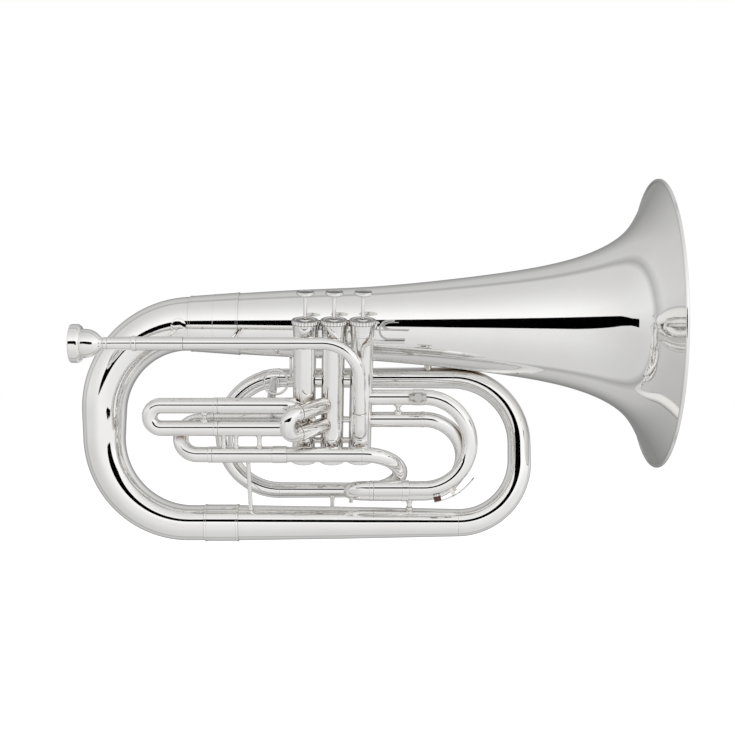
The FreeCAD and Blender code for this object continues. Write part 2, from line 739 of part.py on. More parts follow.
def make_receiver():
    """The socket the mouthpiece shank pushes into."""
    length = RECEIVER_END_X - RECEIVER_X
    profile = [(0.0, 5.22), (0.0, 5.9), (0.6, 6.3), (2.4, 6.3), (3.0, 6.0), (length - 5.0, 6.6),
               (length - 4.2, 7.4), (length - 1.2, 7.4), (length - 0.4, 6.9), (length, 6.9),
               (length, 4.52)]
    return turned(profile, V(RECEIVER_X, LEAD_Y, LEAD_Z), RIGHT)


def make_mouthpiece():
    """A deep-cup mouthpiece: rounded rim, bowl, throat, backbore and tapered shank."""
    outside = [(1.2, 16.2), (0.3, 17.0), (0.0, 17.8), (0.6, 18.4), (1.8, 18.6), (7.6, 18.6), (9.6, 17.6),
               (11.0, 16.0), (11.4, 14.0), (16.3, 13.9), (20.4, 13.0), (24.0, 11.2), (27.0, 8.6), (29.0, 6.3),
               (30.0, 5.4), (31.1, 5.5), (31.9, 6.1), (33.9, 6.1), (34.6, 5.5), (35.2, 5.15), (61.1, 4.5)]
    inside = [(61.1, 3.9), (39.8, 3.4), (32.6, 3.2), (27.6, 3.9), (23.5, 6.4), (19.0, 9.2), (12.7, 11.4),
              (5.4, 12.5), (2.4, 12.9), (1.0, 13.7), (0.3, 14.6), (0.6, 15.6)]
    return turned(outside + inside, V(MOUTHPIECE_RIM_X, LEAD_Y, LEAD_Z), RIGHT)


def make_lead_sleeve():
    return lead_sleeve_run().tube(1.2)


def make_leadpipe():
    return leadpipe_run().tube()


def make_lead_elbow():
    """A ferrule over the pipe's end that turns back into the third casing."""
    run = lead_elbow_run()
    end = leadpipe_run()
    lap = Run(end.point - end.heading * 6.0, end.heading, LEAD_R).straight(6.0)
    return fuse([run.tube(), lap.solid(0.6).cut(lap.solid())]).cut(casing_core(2))


# ---------------------------------------------------------------- braces and small fittings

def waisted_post(start, end, radius, waist):
    """A turned brace, thinner in the middle than at its ends."""
    length = (end - start).Length
    middle = length / 2
    profile = [(0.0, 0.0), (0.0, radius), (middle - length * 0.18, waist), (middle + length * 0.18, waist),
               (length, radius), (length, 0.0)]
    return turned(profile, start, end - start)


def saddle(host_run, point, toward, radius, thickness=0.8):
    """A thin plate that hugs a tube where a brace is soldered on."""
    reach = rod(point, point + unit(toward) * 60.0, radius)
    return host_run.solid(thickness).common(reach).cut(host_run.solid())


def make_brace(start, end, radius, waist, hosts, plates=()):
    """A post between two tubes, trimmed to them, with any plates added."""
    post = waisted_post(start, end, radius, waist)
    return cut(fuse([post] + list(plates)), hosts)


def make_bell_braces():
    """The braces that tie the leadpipe, the bell and the large branch together."""
    bell = bell_host()
    ferrule = bell_ferrule_run().solid(1.3)
    lead_at = V(-493.0, LEAD_Y, LEAD_Z)
    bow_at = V(-482.0, 0, -1.0)
    bow = big_bow_run()
    plate = saddle(bow, bow_at, V(0, -1, -0.08), 7.6)
    first_hosts = [bow.solid(), ferrule, lead_sleeve_run().solid()]
    first = make_brace(lead_at, bow_at, 2.0, 1.6, first_hosts, [plate])
    lead_mid = V(-427.3, LEAD_Y, LEAD_Z)
    second = make_brace(lead_mid, V(-418.0, 0, 0), 3.4, 2.0, [bell, ferrule, leadpipe_run().solid()])
    branch = top_branch_run().solid()
    branch_at = V(-231.3, TOP_BRANCH_Y, TOP_BRANCH_Z)
    third = make_brace(V(branch_at.x, 0, 0), branch_at, 4.2, 3.4, [bell, branch])
    fourth = make_brace(V(-371.5, -4, -10.0), V(-371.5, 8.0, TOP_BRANCH_Z), 1.9, 1.5, [bell, branch])
    casing_back = on_valve(1, 34.0)
    fifth = make_brace(casing_back, V(-326.0, -4.0, -2.0), 3.2, 2.4, [bell, casing_core(1)])
    return Part.makeCompound([first, second, third, fourth, fifth])


def between(first, second, x, radius, waist, host_first, host_second):
    """A brace between two level tubes at one place along them."""
    start = V(x, first.y, first.z)
    end = V(x, second.y, second.z)
    return make_brace(start, end, radius, waist, [host_first, host_second])


def make_tube_braces():
    """The posts between the smaller runs of tubing."""
    long_level = V(0, LONG_TUBE_Y, LONG_TUBE_Z)
    bottom_level = V(0, 0, BOTTOM_Z)
    spiral_level = V(0, SPIRAL_Y, SPIRAL_Z)
    top_level = V(0, TOP_BRANCH_Y, TOP_BRANCH_Z)
    upper_host, lower_host = [first_sleeve_run(level, 0.1).solid() for level in (FIRST_UPPER, FIRST_LOWER)]
    sleeve = main_lower_sleeve_run().solid()
    branch = bottom_branch_run().solid()
    spiral = spiral_run().solid()
    outer_loop = outer_loop_run().solid()
    inner_loop = inner_loop_run().solid()
    posts = [between(FIRST_LOWER, long_level, x, 3.0, 2.2, lower_host, sleeve)
             for x in (-434.5, -422.5, -399.7)]
    posts.append(between(long_level, bottom_level, -411.3, 2.4, 2.4, sleeve, branch))
    posts.append(between(spiral_level, bottom_level, -329.6, 2.8, 2.2, spiral, branch))
    last = between(INNER_BOTTOM, bottom_level, -251.3, 3.3, 2.3, inner_loop, branch)
    posts.append(last.cut(make_third_ferrules()))
    posts.append(between(OUTER_TOP, INNER_TOP, -263.3, 4.6, 2.4, outer_loop, inner_loop))
    posts.append(between(top_level, FIRST_UPPER, -389.0, 5.0, 4.4, top_branch_host(), upper_host))
    return Part.makeCompound(posts)


def top_branch_host():
    return fuse([top_branch_run().solid(0.5), inner_bow_run(40).solid(0.5)])


def make_second_brace():
    """The little ball brace between the sleeves of the second slide."""
    way = second_direction()
    start = on_valve(1, SECOND_UPPER_DEPTH) + way * 27.0
    end = on_valve(1, SECOND_LOWER_DEPTH) + way * 27.0
    ball = Part.makeSphere(3.2, (start + end) * 0.5)
    hosts = [second_leg_run(depth, 0.0, SECOND_JOINT_REACH, SLEEVE_R).solid()
             for depth in (SECOND_UPPER_DEPTH, SECOND_LOWER_DEPTH)]
    return cut(fuse([waisted_post(start, end, 2.2, 2.0), ball]), hosts)


def make_first_slide_brace():
    x = -453.0
    start = V(x, FIRST_UPPER.y, FIRST_UPPER.z)
    end = V(x, FIRST_LOWER.y, FIRST_LOWER.z)
    hosts = [rod(V(x - 12, p.y, p.z), V(x + 12, p.y, p.z), LOOP_R) for p in (start, end)]
    return cut(waisted_post(start, end, 4.6, 2.0), hosts)


RING_CENTRE = V(-383.7, -44.6, -58.8)
RING_BEND = 11.9
RING_WIRE_R = 1.2


def make_finger_ring():
    """A wire ring for the hand, on a stub soldered to the first casing."""
    ring = Part.makeTorus(RING_BEND, RING_WIRE_R, RING_CENTRE, REAR)
    stub = rod(RING_CENTRE + RIGHT * (RING_BEND - 0.3), RING_CENTRE + RIGHT * 30.0, 1.9)
    return fuse([ring, stub]).cut(casing_core(0))


HOOK_WIDTH = 9.0
HOOK_THICKNESS = 1.8
HOOK_BEND = 9.0
HOOK_CENTRE = V(-272.9, -67.5, -8.3)
HOOK_TIP = 5.6
HOOK_END_X = -257.3
HOOK_BAR_R = 1.6


def curl_run():
    """Centre line of the curled strap, from its free tip round to its long lower arm."""
    run = Run(V(HOOK_CENTRE.x + HOOK_TIP, HOOK_CENTRE.y, HOOK_CENTRE.z + HOOK_BEND), LEFT, 1.0)
    run.straight(HOOK_TIP)
    run.bend(HOOK_BEND, 180, DOWN)
    return run.straight(HOOK_END_X - HOOK_CENTRE.x)


def make_pinky_hook():
    """A curled strap for the little finger, open to the right, on a bent bar from the third casing."""
    half = V(0, HOOK_WIDTH / 2, HOOK_THICKNESS / 2)
    parts = []
    for piece in curl_run().pieces:
        point, heading = piece[1], piece[2]
        signs = ((-1, -1), (1, -1), (1, 1), (-1, 1))
        corners = [point + V(0, y * half.y, z * half.z) for y, z in signs]
        face = Part.Face(Part.makePolygon(corners + [corners[0]]))
        if piece[0] == "straight":
            parts.append(face.extrude(heading * piece[5]))
        else:
            parts.append(face.revolve(piece[5], piece[6], piece[7]))
    low = HOOK_CENTRE.z - HOOK_BEND - HOOK_THICKNESS / 2 - HOOK_BAR_R + 0.2
    bar = Run(V(-299.0, -66.5, -35.0), VALVE_UP, HOOK_BAR_R)
    bar.straight(6.0)
    bar.bend(8.0, 90, RIGHT)
    level = V(bar.point.x, bar.point.y, low)
    bar_level = rod(level, V(HOOK_END_X - 0.6, HOOK_CENTRE.y - 1.0, low), HOOK_BAR_R)
    corner = Part.makeSphere(HOOK_BAR_R, level)
    parts.extend([bar.solid(), corner, rod(bar.point, level, HOOK_BAR_R), bar_level])
    return fuse(parts).cut(casing_core(2))


LYRE_X = -244.3
LYRE_BORE_R = 2.6
LYRE_BLOCK = 9.5
LYRE_FOOT_LENGTH = 17.2
LYRE_SCREW_HOLE_R = 1.35


def lyre_centre():
    """Centre of the socket for a music lyre's shank, in front of the outer loop."""
    return V(LYRE_X, OUTER_TOP.y - LOOP_R - 5.6, OUTER_TOP.z)


def make_lyre_holder():
    """A drilled block on a long foot hollowed to the tube, with a cross hole for its screw."""
    centre = lyre_centre()
    half = LYRE_BLOCK / 2
    block = Part.makeBox(LYRE_BLOCK, 11.0, LYRE_BLOCK, centre - V(half, half, half))
    foot_corner = V(LYRE_X - LYRE_FOOT_LENGTH / 2, OUTER_TOP.y - LOOP_R - 1.5, OUTER_TOP.z - 3.9)
    foot = Part.makeBox(LYRE_FOOT_LENGTH, 3.0, 7.8, foot_corner)
    tube_start = V(LYRE_X - 20.0, OUTER_TOP.y, OUTER_TOP.z)
    tube = rod(tube_start, tube_start + RIGHT * 40.0, LOOP_R + 0.5)
    body = block.fuse(foot).removeSplitter().cut(tube)
    body = body.cut(rod(centre - UP * 8.0, centre + UP * 8.0, LYRE_BORE_R))
    return body.cut(rod(centre, centre - REAR * 8.0, LYRE_SCREW_HOLE_R))


LYRE_HEAD_R = 2.4
LYRE_WING = 1.6


def make_lyre_screw():
    """A thumbscrew with a flat head and two lobes, backed off from the socket."""
    centre = lyre_centre()
    face = centre - REAR * (LYRE_BLOCK / 2)
    shank = rod(centre - REAR * (LYRE_BORE_R + 0.4), face - REAR * 2.2, 1.3)
    head = rod(face - REAR * 0.6, face - REAR * 3.4, LYRE_HEAD_R)
    wing_start = face - REAR * 2.2
    wings = [rod(wing_start, wing_start - REAR * LYRE_WING, 4.25)]
    for side in (-5.6, 5.6):
        lobe_start = wing_start + RIGHT * side
        wings.append(rod(lobe_start, lobe_start - REAR * LYRE_WING, 2.1))
    return fuse([shank, head] + wings)


# ---------------------------------------------------------------- water key on the outer loop

KEY_BORE_ANGLE = 13.5
KEY_PIVOT_ANGLE = 30.0
KEY_TIP_ANGLE = 55.0
KEY_PIVOT_HEIGHT = 4.4
KEY_PIN_R = 0.9
KEY_WIDTH = 5.0
NIPPLE_HEIGHT = 1.6
CORK_HEIGHT = 4.8
CORK_R = 3.6
KEY_LIFT = 6.8
KEY_STEPS = 13


def loop_place(degrees, height):
    """A point outside the outer loop's bow, measured from the bottom towards the right."""
    drop = OUTER_BOTTOM - OUTER_TOP
    hub = V(LOOP_BOW_X, 0, 0) + OUTER_TOP + drop * 0.5
    across, below = math.sin(math.radians(degrees)), math.cos(math.radians(degrees))
    return hub + (RIGHT * across + unit(drop) * below) * (drop.Length / 2 + LOOP_R + height)


def loop_outward(degrees):
    return unit(loop_place(degrees, 1.0) - loop_place(degrees, 0.0))


KEY_AXIS = unit(RIGHT.cross(OUTER_BOTTOM - OUTER_TOP))


def make_key_nipple():
    """The short drain spout under the bow that the cork closes."""
    base = loop_place(KEY_BORE_ANGLE, -1.5)
    tip = loop_place(KEY_BORE_ANGLE, NIPPLE_HEIGHT)
    return rod(base, tip, 3.0).cut(outer_loop_run().solid()).cut(rod(base, tip + (tip - base), 1.6))


def make_key_saddle():
    """Two ears on a curved foot that carry the key's pivot pin."""
    pivot = loop_place(KEY_PIVOT_ANGLE, KEY_PIVOT_HEIGHT)
    outward = loop_outward(KEY_PIVOT_ANGLE)
    parts = []
    for side in (-1, 1):
        inside = pivot + KEY_AXIS * (side * (KEY_WIDTH / 2 + 0.15))
        outside = inside + KEY_AXIS * (side * 1.1)
        ear = rod(inside, outside, 2.0)
        foot = rod(inside - outward * 6.0, outside - outward * 6.0, 2.4)
        web = Part.makeBox(3.4, 1.1, 6.0)
        turn = FreeCAD.Rotation(KEY_AXIS.cross(outward), KEY_AXIS * side, outward * -1.0, "ZYX")
        web.Placement = FreeCAD.Placement(CENTRE, turn)
        corner = inside - KEY_AXIS.cross(outward) * 1.7
        web.translate(corner)
        parts.extend([ear, foot, web])
    return cut(fuse(parts), [outer_loop_run().solid(), make_key_pin()])


def make_key_lever():
    """The key's arm: a cork cup, a barrel round the pin and a curved touch."""
    points_outer = []
    points_inner = []
    first_angle = KEY_BORE_ANGLE - 3.5
    for step in range(KEY_STEPS + 1):
        angle = first_angle + step * (KEY_TIP_ANGLE - first_angle) / KEY_STEPS
        lift = NIPPLE_HEIGHT + CORK_HEIGHT if angle < KEY_PIVOT_ANGLE else KEY_LIFT
        points_inner.append(loop_place(angle, lift))
        points_outer.append(loop_place(angle, lift + 1.1))
    face = Part.Face(Part.makePolygon(points_outer + points_inner[::-1] + [points_outer[0]]))
    arm = face.extrude(KEY_AXIS * (KEY_WIDTH - 0.4))
    arm.translate(KEY_AXIS * (0.2 - KEY_WIDTH / 2))
    pivot = loop_place(KEY_PIVOT_ANGLE, KEY_PIVOT_HEIGHT)
    outward = loop_outward(KEY_PIVOT_ANGLE)
    half = KEY_AXIS * (KEY_WIDTH / 2)
    barrel = rod(pivot - half, pivot + half, 2.0)
    neck = rod(pivot, pivot + outward * 3.0, 1.6)
    body = fuse([arm, barrel, neck])
    return body.cut(rod(pivot - half * 2.0, pivot + half * 2.0, KEY_PIN_R + 0.05))


def make_key_pin():
    pivot = loop_place(KEY_PIVOT_ANGLE, KEY_PIVOT_HEIGHT)
    half = KEY_AXIS * (KEY_WIDTH / 2 + 1.6)
    return rod(pivot - half, pivot + half, KEY_PIN_R)


def make_key_cork():
    """The cork pad pressed against the drain spout."""
    closed_end = loop_place(KEY_BORE_ANGLE, NIPPLE_HEIGHT)
    return rod(closed_end, loop_place(KEY_BORE_ANGLE, NIPPLE_HEIGHT + CORK_HEIGHT - 0.1), CORK_R)


def build_nodes():
    """Every piece of the instrument by name."""
    nodes = {
        "bell": make_bell(),
        "bell_rim": make_bell_rim(),
        "bell_ferrule": make_bell_ferrule(),
        "big_bow": big_bow_run().tube(),
        "lower_ferrule": make_lower_ferrule(),
        "bottom_branch": bottom_branch_run().tube(),
        "right_bow": right_bow_run().tube(),
        "top_branch": top_branch_run().tube(),
        "inner_bow": inner_bow_run().tube(),
        "spiral_tube": spiral_run().tube(),
        "u_turn": u_turn_run().tube(),
        "long_tube": long_tube_run().tube(),
        "main_slide_sleeves": Part.makeCompound([make_main_upper_sleeve(), make_main_lower_sleeve()]),
        "small_ferrules": Part.makeCompound([make_inner_bow_ferrule(), make_main_ferrule()]
                                            + make_third_ferrules().Solids),
        "main_tuning_slide": make_main_slide(),
        "first_slide_sleeves": make_first_sleeves(),
        "first_slide": make_first_slide(),
        "first_slide_brace": make_first_slide_brace(),
        "second_slide_sleeves": make_second_sleeves(),
        "second_slide_brace": make_second_brace(),
        "second_slide": make_second_slide(),
        "third_loop_outer": outer_loop_run().tube().cut(casing_core(2)),
        "third_loop_inner": inner_loop_run().tube().cut(casing_core(2)),
        "third_slide_sleeves": make_third_sleeves(),
        "third_slide": make_third_slide(),
        "mouthpiece": make_mouthpiece(),
        "mouthpiece_receiver": make_receiver(),
        "leadpipe_sleeve": make_lead_sleeve(),
        "leadpipe": make_leadpipe(),
        "leadpipe_elbow": make_lead_elbow(),
        "valve_links": make_valve_links(),
        "top_caps": Part.makeCompound([make_top_cap(i) for i in range(VALVE_COUNT)]),
        "bottom_caps": Part.makeCompound([make_bottom_cap(i) for i in range(VALVE_COUNT)]),
        "bell_braces": make_bell_braces(),
        "tube_braces": make_tube_braces(),
        "finger_ring": make_finger_ring(),
        "pinky_hook": make_pinky_hook(),
        "lyre_holder": make_lyre_holder(),
        "lyre_thumbscrew": make_lyre_screw(),
        "water_key_nipple": make_key_nipple(),
        "water_key_saddle": make_key_saddle(),
        "water_key_lever": make_key_lever(),
        "water_key_pin": make_key_pin(),
        "water_key_cork": make_key_cork(),
    }
    for index in range(VALVE_COUNT):
        number = str(index + 1)
        nodes["valve_casing_" + number] = make_casing(index)
        nodes["piston_" + number] = make_piston(index)
        nodes["piston_stem_" + number] = make_stem(index)
        nodes["finger_button_" + number] = make_button(index)
        nodes["piston_spring_" + number] = make_spring(index)
    return nodes


os.makedirs("parts", exist_ok=True)
for name, shape in build_nodes().items():
    shape.exportStep("parts/" + name + ".step")
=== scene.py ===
import math

import bpy
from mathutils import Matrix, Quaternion, Vector


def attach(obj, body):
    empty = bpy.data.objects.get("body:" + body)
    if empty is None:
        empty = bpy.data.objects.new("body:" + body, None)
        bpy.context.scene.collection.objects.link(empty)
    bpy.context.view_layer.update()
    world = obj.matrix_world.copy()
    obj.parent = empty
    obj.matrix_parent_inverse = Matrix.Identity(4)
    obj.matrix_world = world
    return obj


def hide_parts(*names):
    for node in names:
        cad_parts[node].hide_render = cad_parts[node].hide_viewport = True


# Looks for a silver-plated bell-front euphonium.  Lengths below are millimetres, turned into
# metres when a mesh is made.  Origin: centre of the bell mouth, +X out of the bell, +Z up.
MM = 0.001
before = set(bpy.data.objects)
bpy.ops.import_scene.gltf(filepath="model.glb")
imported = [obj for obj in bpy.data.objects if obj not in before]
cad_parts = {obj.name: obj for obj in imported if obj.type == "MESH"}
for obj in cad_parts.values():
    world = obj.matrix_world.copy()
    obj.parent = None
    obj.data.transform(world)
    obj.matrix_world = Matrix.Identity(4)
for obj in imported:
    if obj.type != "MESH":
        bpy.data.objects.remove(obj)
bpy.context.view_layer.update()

RIGHT = Vector((1, 0, 0))
LEFT = Vector((-1, 0, 0))
UP = Vector((0, 0, 1))
DOWN = Vector((0, 0, -1))
REAR = Vector((0, 1, 0))
TURN = 2.0 * math.pi

# Bell and large tubing
BELL_MOUTH_R = 146.0
BELL_END_X = -423.0
BELL_END_R = 31.0
SPLICE_X = -448.0
BELL_WALL = 0.9
TUBE_WALL = 0.6
BELL_OUTLINE = [(-423.0, 31.0), (-362.0, 34.4), (-286.0, 37.9), (-260.0, 40.0), (-209.0, 45.2),
                (-159.0, 51.5), (-98.0, 62.6), (-58.0, 76.2), (-29.6, 95.6), (-13.8, 119.7), (-2.4, 143.4)]
BIG_BOW_X = -472.8
BIG_BOW_BEND = 87.9
BIG_BOW_TOP_R = 27.4
BOW_SHOULDER_R = 22.5
BOW_FOOT_R = 21.3
BRANCH_R = 17.8
BRANCH_LEVEL_LENGTH = 17.0
BRANCH_TAPER_LENGTH = 104.0
BRANCH_MIDDLE_R = 16.3
BRANCH_END_R = 13.9
RIGHT_BOW_WAIST_R = 11.9
TOP_BRANCH_R = 11.0
INNER_BOW_R = 9.5
INNER_BOW_END_R = 8.2
SPIRAL_END_R = 7.6
BOTTOM_Z = -202.2
LOWER_SPLICE_X = -441.0
LOWER_FERRULE_X = -458.0
LOWER_FERRULE_LENGTH = 34.0
RIGHT_BOW_X = -201.8
RIGHT_BOW_LOWER_BEND = 63.5
RIGHT_BOW_UPPER_BEND = 67.5
TOP_BRANCH_Y = 20.0
TOP_BRANCH_Z = -55.2
INNER_BOW_X = -383.6
SPIRAL_Y = 20.0
SPIRAL_Z = -170.8
U_TURN_X = -299.0

# Slides
LEG_R = 7.3
SLEEVE_R = 7.95
LOOP_R = 7.55
SLIDE_GAP = 0.3
LONG_TUBE_Y = -44.5
LONG_TUBE_Z = -130.1
LONG_TUBE_START_X = -380.0
MAIN_UPPER_Y = -30.0
MAIN_UPPER_Z = -97.7
MAIN_JOINT_X = -446.0
MAIN_SLEEVE_END_X = -356.0
MAIN_BOW_X = -460.4
FIRST_UPPER = Vector((0, -54.0, -81.8))
FIRST_LOWER = Vector((0, -50.5, -103.9))
FIRST_JOINT_X = -439.7
FIRST_BOW_X = -495.4
FIRST_TURN_X = -376.5
FIRST_TURN_BEND = 12.0
SECOND_UPPER_DEPTH = 85.0
SECOND_LOWER_DEPTH = 106.0
SECOND_BOW_REACH = 49.8
SECOND_JOINT_REACH = 45.2
OUTER_TOP = Vector((0, -40.5, -73.8))
OUTER_BOTTOM = Vector((0, -37.0, -164.3))
INNER_TOP = Vector((0, -31.0, -96.1))
INNER_BOTTOM = Vector((0, -8.0, -171.5))
LOOP_BOW_X = -237.6
THIRD_JOINT_X = -287.6
THIRD_SLEEVE_END_X = -256.0
THIRD_BOW_X = -295.0

# Valve block
VALVE_COUNT = 3
VALVE_PITCH = 27.95
VALVE_TILT = 17.0
VALVE_LEAN = 1.4
VALVE_TOP = Vector((-354.0, -63.0, 1.9))
CASING_R = 11.2
CASING_BORE_R = 9.6
CASING_NECK_R = 10.5
CAP_R = 13.2
TOP_CAP_LENGTH = 16.0
BOTTOM_CAP_LENGTH = 15.0
VALVE_LENGTH = 147.0
NECK_START = 3.0
PISTON_TOP = 26.0
STEM_R = 1.9
STEM_HOLE_R = 2.15
BUTTON_R = 8.65
BUTTON_GAP = 22.5
KNURL_COUNT = 36
TOP_KNURL_COUNT = 24
LINK_DEPTH = 61.0
LINK_R = 6.3
TIE_DEPTHS = ((124.0,), (102.0, 124.0))
TIE_R = 3.0

# Leadpipe and mouthpiece
LEAD_Y = -77.5
LEAD_Z = -21.4
LEAD_R = 6.1
LEAD_SLEEVE_R = 6.7
LEAD_BEND_X = -336.3
LEAD_BEND = 36.0
RECEIVER_X = -542.8
RECEIVER_END_X = -514.9
LEAD_SLEEVE_END_X = -470.4
MOUTHPIECE_RIM_X = -578.3
MOUTHPIECE_LENGTH = 61.1

# Finger ring
RING_CENTRE = Vector((-383.7, -44.6, -58.8))
RING_BEND = 11.9
RING_WIRE_R = 1.2


# ---------------- materials

def new_material(name):
    """A material with its node tree and surface shader."""
    material = bpy.data.materials.new(name)
    material.use_nodes = True
    tree = material.node_tree
    return material, tree, tree.nodes["Principled BSDF"]


def add_node(tree, kind, **values):
    """A node with its inputs or settings filled in."""
    node = tree.nodes.new(kind)
    for key, value in values.items():
        if key in node.inputs:
            node.inputs[key].default_value = value
        else:
            setattr(node, key, value)
    return node


def noise(tree, coords, noise_scale, detail=4.0, scale=(1, 1, 1), turn=(0, 0, 0)):
    """Noise; a small scale draws it out along that direction, for fine wiping scratches."""
    mapping = add_node(tree, "ShaderNodeMapping")
    mapping.inputs["Scale"].default_value = scale
    mapping.inputs["Rotation"].default_value = turn
    texture = add_node(tree, "ShaderNodeTexNoise", Scale=noise_scale, Detail=detail, Roughness=0.6)
    tree.links.new(coords, mapping.inputs["Vector"])
    tree.links.new(mapping.outputs["Vector"], texture.inputs["Vector"])
    return texture.outputs["Fac"]


def remap(tree, value, low, high, to_low, to_high, blend="SMOOTHSTEP"):
    """Carries one range over to another."""
    node = add_node(tree, "ShaderNodeMapRange", interpolation_type=blend)
    for key, number in (("From Min", low), ("From Max", high), ("To Min", to_low), ("To Max", to_high)):
        node.inputs[key].default_value = number
    tree.links.new(value, node.inputs["Value"])
    return node.outputs["Result"]


def combine(tree, operation, first, second):
    """Arithmetic on two values, each a socket or a number."""
    node = add_node(tree, "ShaderNodeMath", operation=operation)
    for index, value in enumerate((first, second)):
        if isinstance(value, (int, float)):
            node.inputs[index].default_value = value
        else:
            tree.links.new(value, node.inputs[index])
    return node.outputs["Value"]


def mix_colours(tree, factor, first, second):
    """A share of each of two colours, each a socket or a colour."""
    node = add_node(tree, "ShaderNodeMix", data_type="RGBA")
    tree.links.new(factor, node.inputs["Factor"])
    for key, value in (("A", first), ("B", second)):
        socket = [s for s in node.inputs if s.name == key and s.type == "RGBA"][0]
        if isinstance(value, tuple):
            socket.default_value = value
        else:
            tree.links.new(value, socket)
    return [s for s in node.outputs if s.type == "RGBA"][0]


def metal(name, clean, dull, tarnish_and_shade, rough_low, rough_high, scratch, outline=0.0):
    """Plated metal with smudges, wiping scratches, and a brown patina with painted shade gathered in the
    corners.

    The outline is how much the colour is darkened towards near-black where the metal is seen at a glancing
    angle: a painted shade on the rims, in place of the darker edges of the reflections.
    """
    material, tree, surface = new_material(name)
    coords = add_node(tree, "ShaderNodeTexCoord").outputs["Object"]
    smudge = noise(tree, coords, 22.0)
    grain = noise(tree, coords, 900.0, 2.0)
    lines_a = noise(tree, coords, 2600.0, 2.0, (0.05, 1, 1), (0.2, 0.3, 0.5))
    lines_b = noise(tree, coords, 2200.0, 2.0, (1, 1, 0.05), (0.6, -0.4, 0.2))
    scratches = combine(tree, "ADD", remap(tree, lines_a, 0.60, 0.74, 0.0, 1.0),
                        remap(tree, lines_b, 0.62, 0.76, 0.0, 1.0))
    rough = remap(tree, smudge, 0.35, 0.75, rough_low, rough_high)
    rough = combine(tree, "ADD", rough, combine(tree, "MULTIPLY", scratches, scratch))
    rough = combine(tree, "ADD", rough, combine(tree, "MULTIPLY", grain, rough_low * 0.4))
    tree.links.new(rough, surface.inputs["Roughness"])
    # Painted shade: ambient occlusion darkens the colour towards a brown in corners, creases and between
    # parts; partly real patina, partly painted shade.
    corners = add_node(tree, "ShaderNodeAmbientOcclusion", Distance=0.006, samples=4)
    depth = remap(tree, corners.outputs["AO"], 0.25, 0.95, 0.75, 0.0)
    tint = mix_colours(tree, remap(tree, smudge, 0.30, 0.70, 0.0, 1.0), clean, dull)
    colour = mix_colours(tree, depth, tint, tarnish_and_shade)
    # Painted shade: near-black mixed into the colour at glancing angles draws dark rims round the metal.
    if outline > 0.0:
        glance = add_node(tree, "ShaderNodeLayerWeight", Blend=0.5)
        rim = remap(tree, glance.outputs["Facing"], 0.35, 0.85, 0.0, outline)
        colour = mix_colours(tree, rim, colour, (0.05, 0.05, 0.052, 1))
    tree.links.new(colour, surface.inputs["Base Color"])
    surface.inputs["Metallic"].default_value = 1.0
    bump = add_node(tree, "ShaderNodeBump", Strength=0.02, Distance=0.00002)
    tree.links.new(scratches, bump.inputs["Height"])
    tree.links.new(bump.outputs["Normal"], surface.inputs["Normal"])
    return material


def cork_material():
    """A dark red-brown ribbed pad."""
    material, tree, surface = new_material("cork_pad")
    coords = add_node(tree, "ShaderNodeTexCoord").outputs["Object"]
    ribs = add_node(tree, "ShaderNodeTexWave", Scale=420.0, Distortion=1.2, bands_direction="Z")
    tree.links.new(coords, ribs.inputs["Vector"])
    grain = noise(tree, coords, 1400.0)
    share = combine(tree, "MULTIPLY", ribs.outputs["Fac"], grain)
    colour = mix_colours(tree, share, (0.055, 0.014, 0.012, 1), (0.20, 0.065, 0.05, 1))
    tree.links.new(colour, surface.inputs["Base Color"])
    surface.inputs["Roughness"].default_value = 0.55
    bump = add_node(tree, "ShaderNodeBump", Strength=0.5, Distance=0.0002)
    tree.links.new(share, bump.inputs["Height"])
    tree.links.new(bump.outputs["Normal"], surface.inputs["Normal"])
    return material


CLEAN_SILVER = (0.965, 0.962, 0.955, 1)
DULL_SILVER = (0.945, 0.935, 0.915, 1)
# Brown for the corners of the silver: partly patina, partly painted shade.
TARNISH_AND_CORNER_SHADE = (0.40, 0.31, 0.22, 1)
# The fourth colour of each metal below is its corner colour: patina with painted shade.
SILVER = metal("silver_plate", CLEAN_SILVER, DULL_SILVER, TARNISH_AND_CORNER_SHADE, 0.018, 0.045, 0.03)
# The last number of a metal is its painted rim shade, darkening it at glancing angles.
CAST = metal("silver_on_castings", (0.95, 0.945, 0.935, 1), (0.92, 0.91, 0.89, 1),
             (0.36, 0.28, 0.20, 1), 0.34, 0.42, 0.05, 0.5)
TRIM = metal("silver_on_small_parts", CLEAN_SILVER, DULL_SILVER, TARNISH_AND_CORNER_SHADE, 0.03, 0.07, 0.03, 0.8)
STEEL = metal("lapped_alloy", (0.74, 0.73, 0.71, 1), (0.66, 0.65, 0.62, 1),
              (0.30, 0.26, 0.22, 1), 0.16, 0.26, 0.08)
SPRING = metal("spring_wire", (0.60, 0.59, 0.57, 1), (0.50, 0.49, 0.46, 1),
               (0.22, 0.19, 0.16, 1), 0.22, 0.34, 0.08)
CORK = cork_material()


# ---------------- mesh code

def square_to(axis):
    """Two directions square to an axis and to each other."""
    first = axis.cross(UP if abs(axis.z) < 0.9 else REAR).normalized()
    return first, axis.cross(first).normalized()


def make_object(name, skin, node, material=SILVER, body="horn", slot="silver_plate"):
    """A smooth mesh piece that rides on its body and stands for its CAD node."""
    mesh = bpy.data.meshes.new(name)
    mesh.from_pydata([point * MM for point in skin.points], [], skin.faces)
    mesh.polygons.foreach_set("use_smooth", [True] * len(skin.faces))
    mesh.normals_split_custom_set_from_vertices(skin.normals)
    mesh.materials.append(material)
    piece = bpy.data.objects.new(name, mesh)
    bpy.context.scene.collection.objects.link(piece)
    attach(piece, body)
    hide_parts(node)


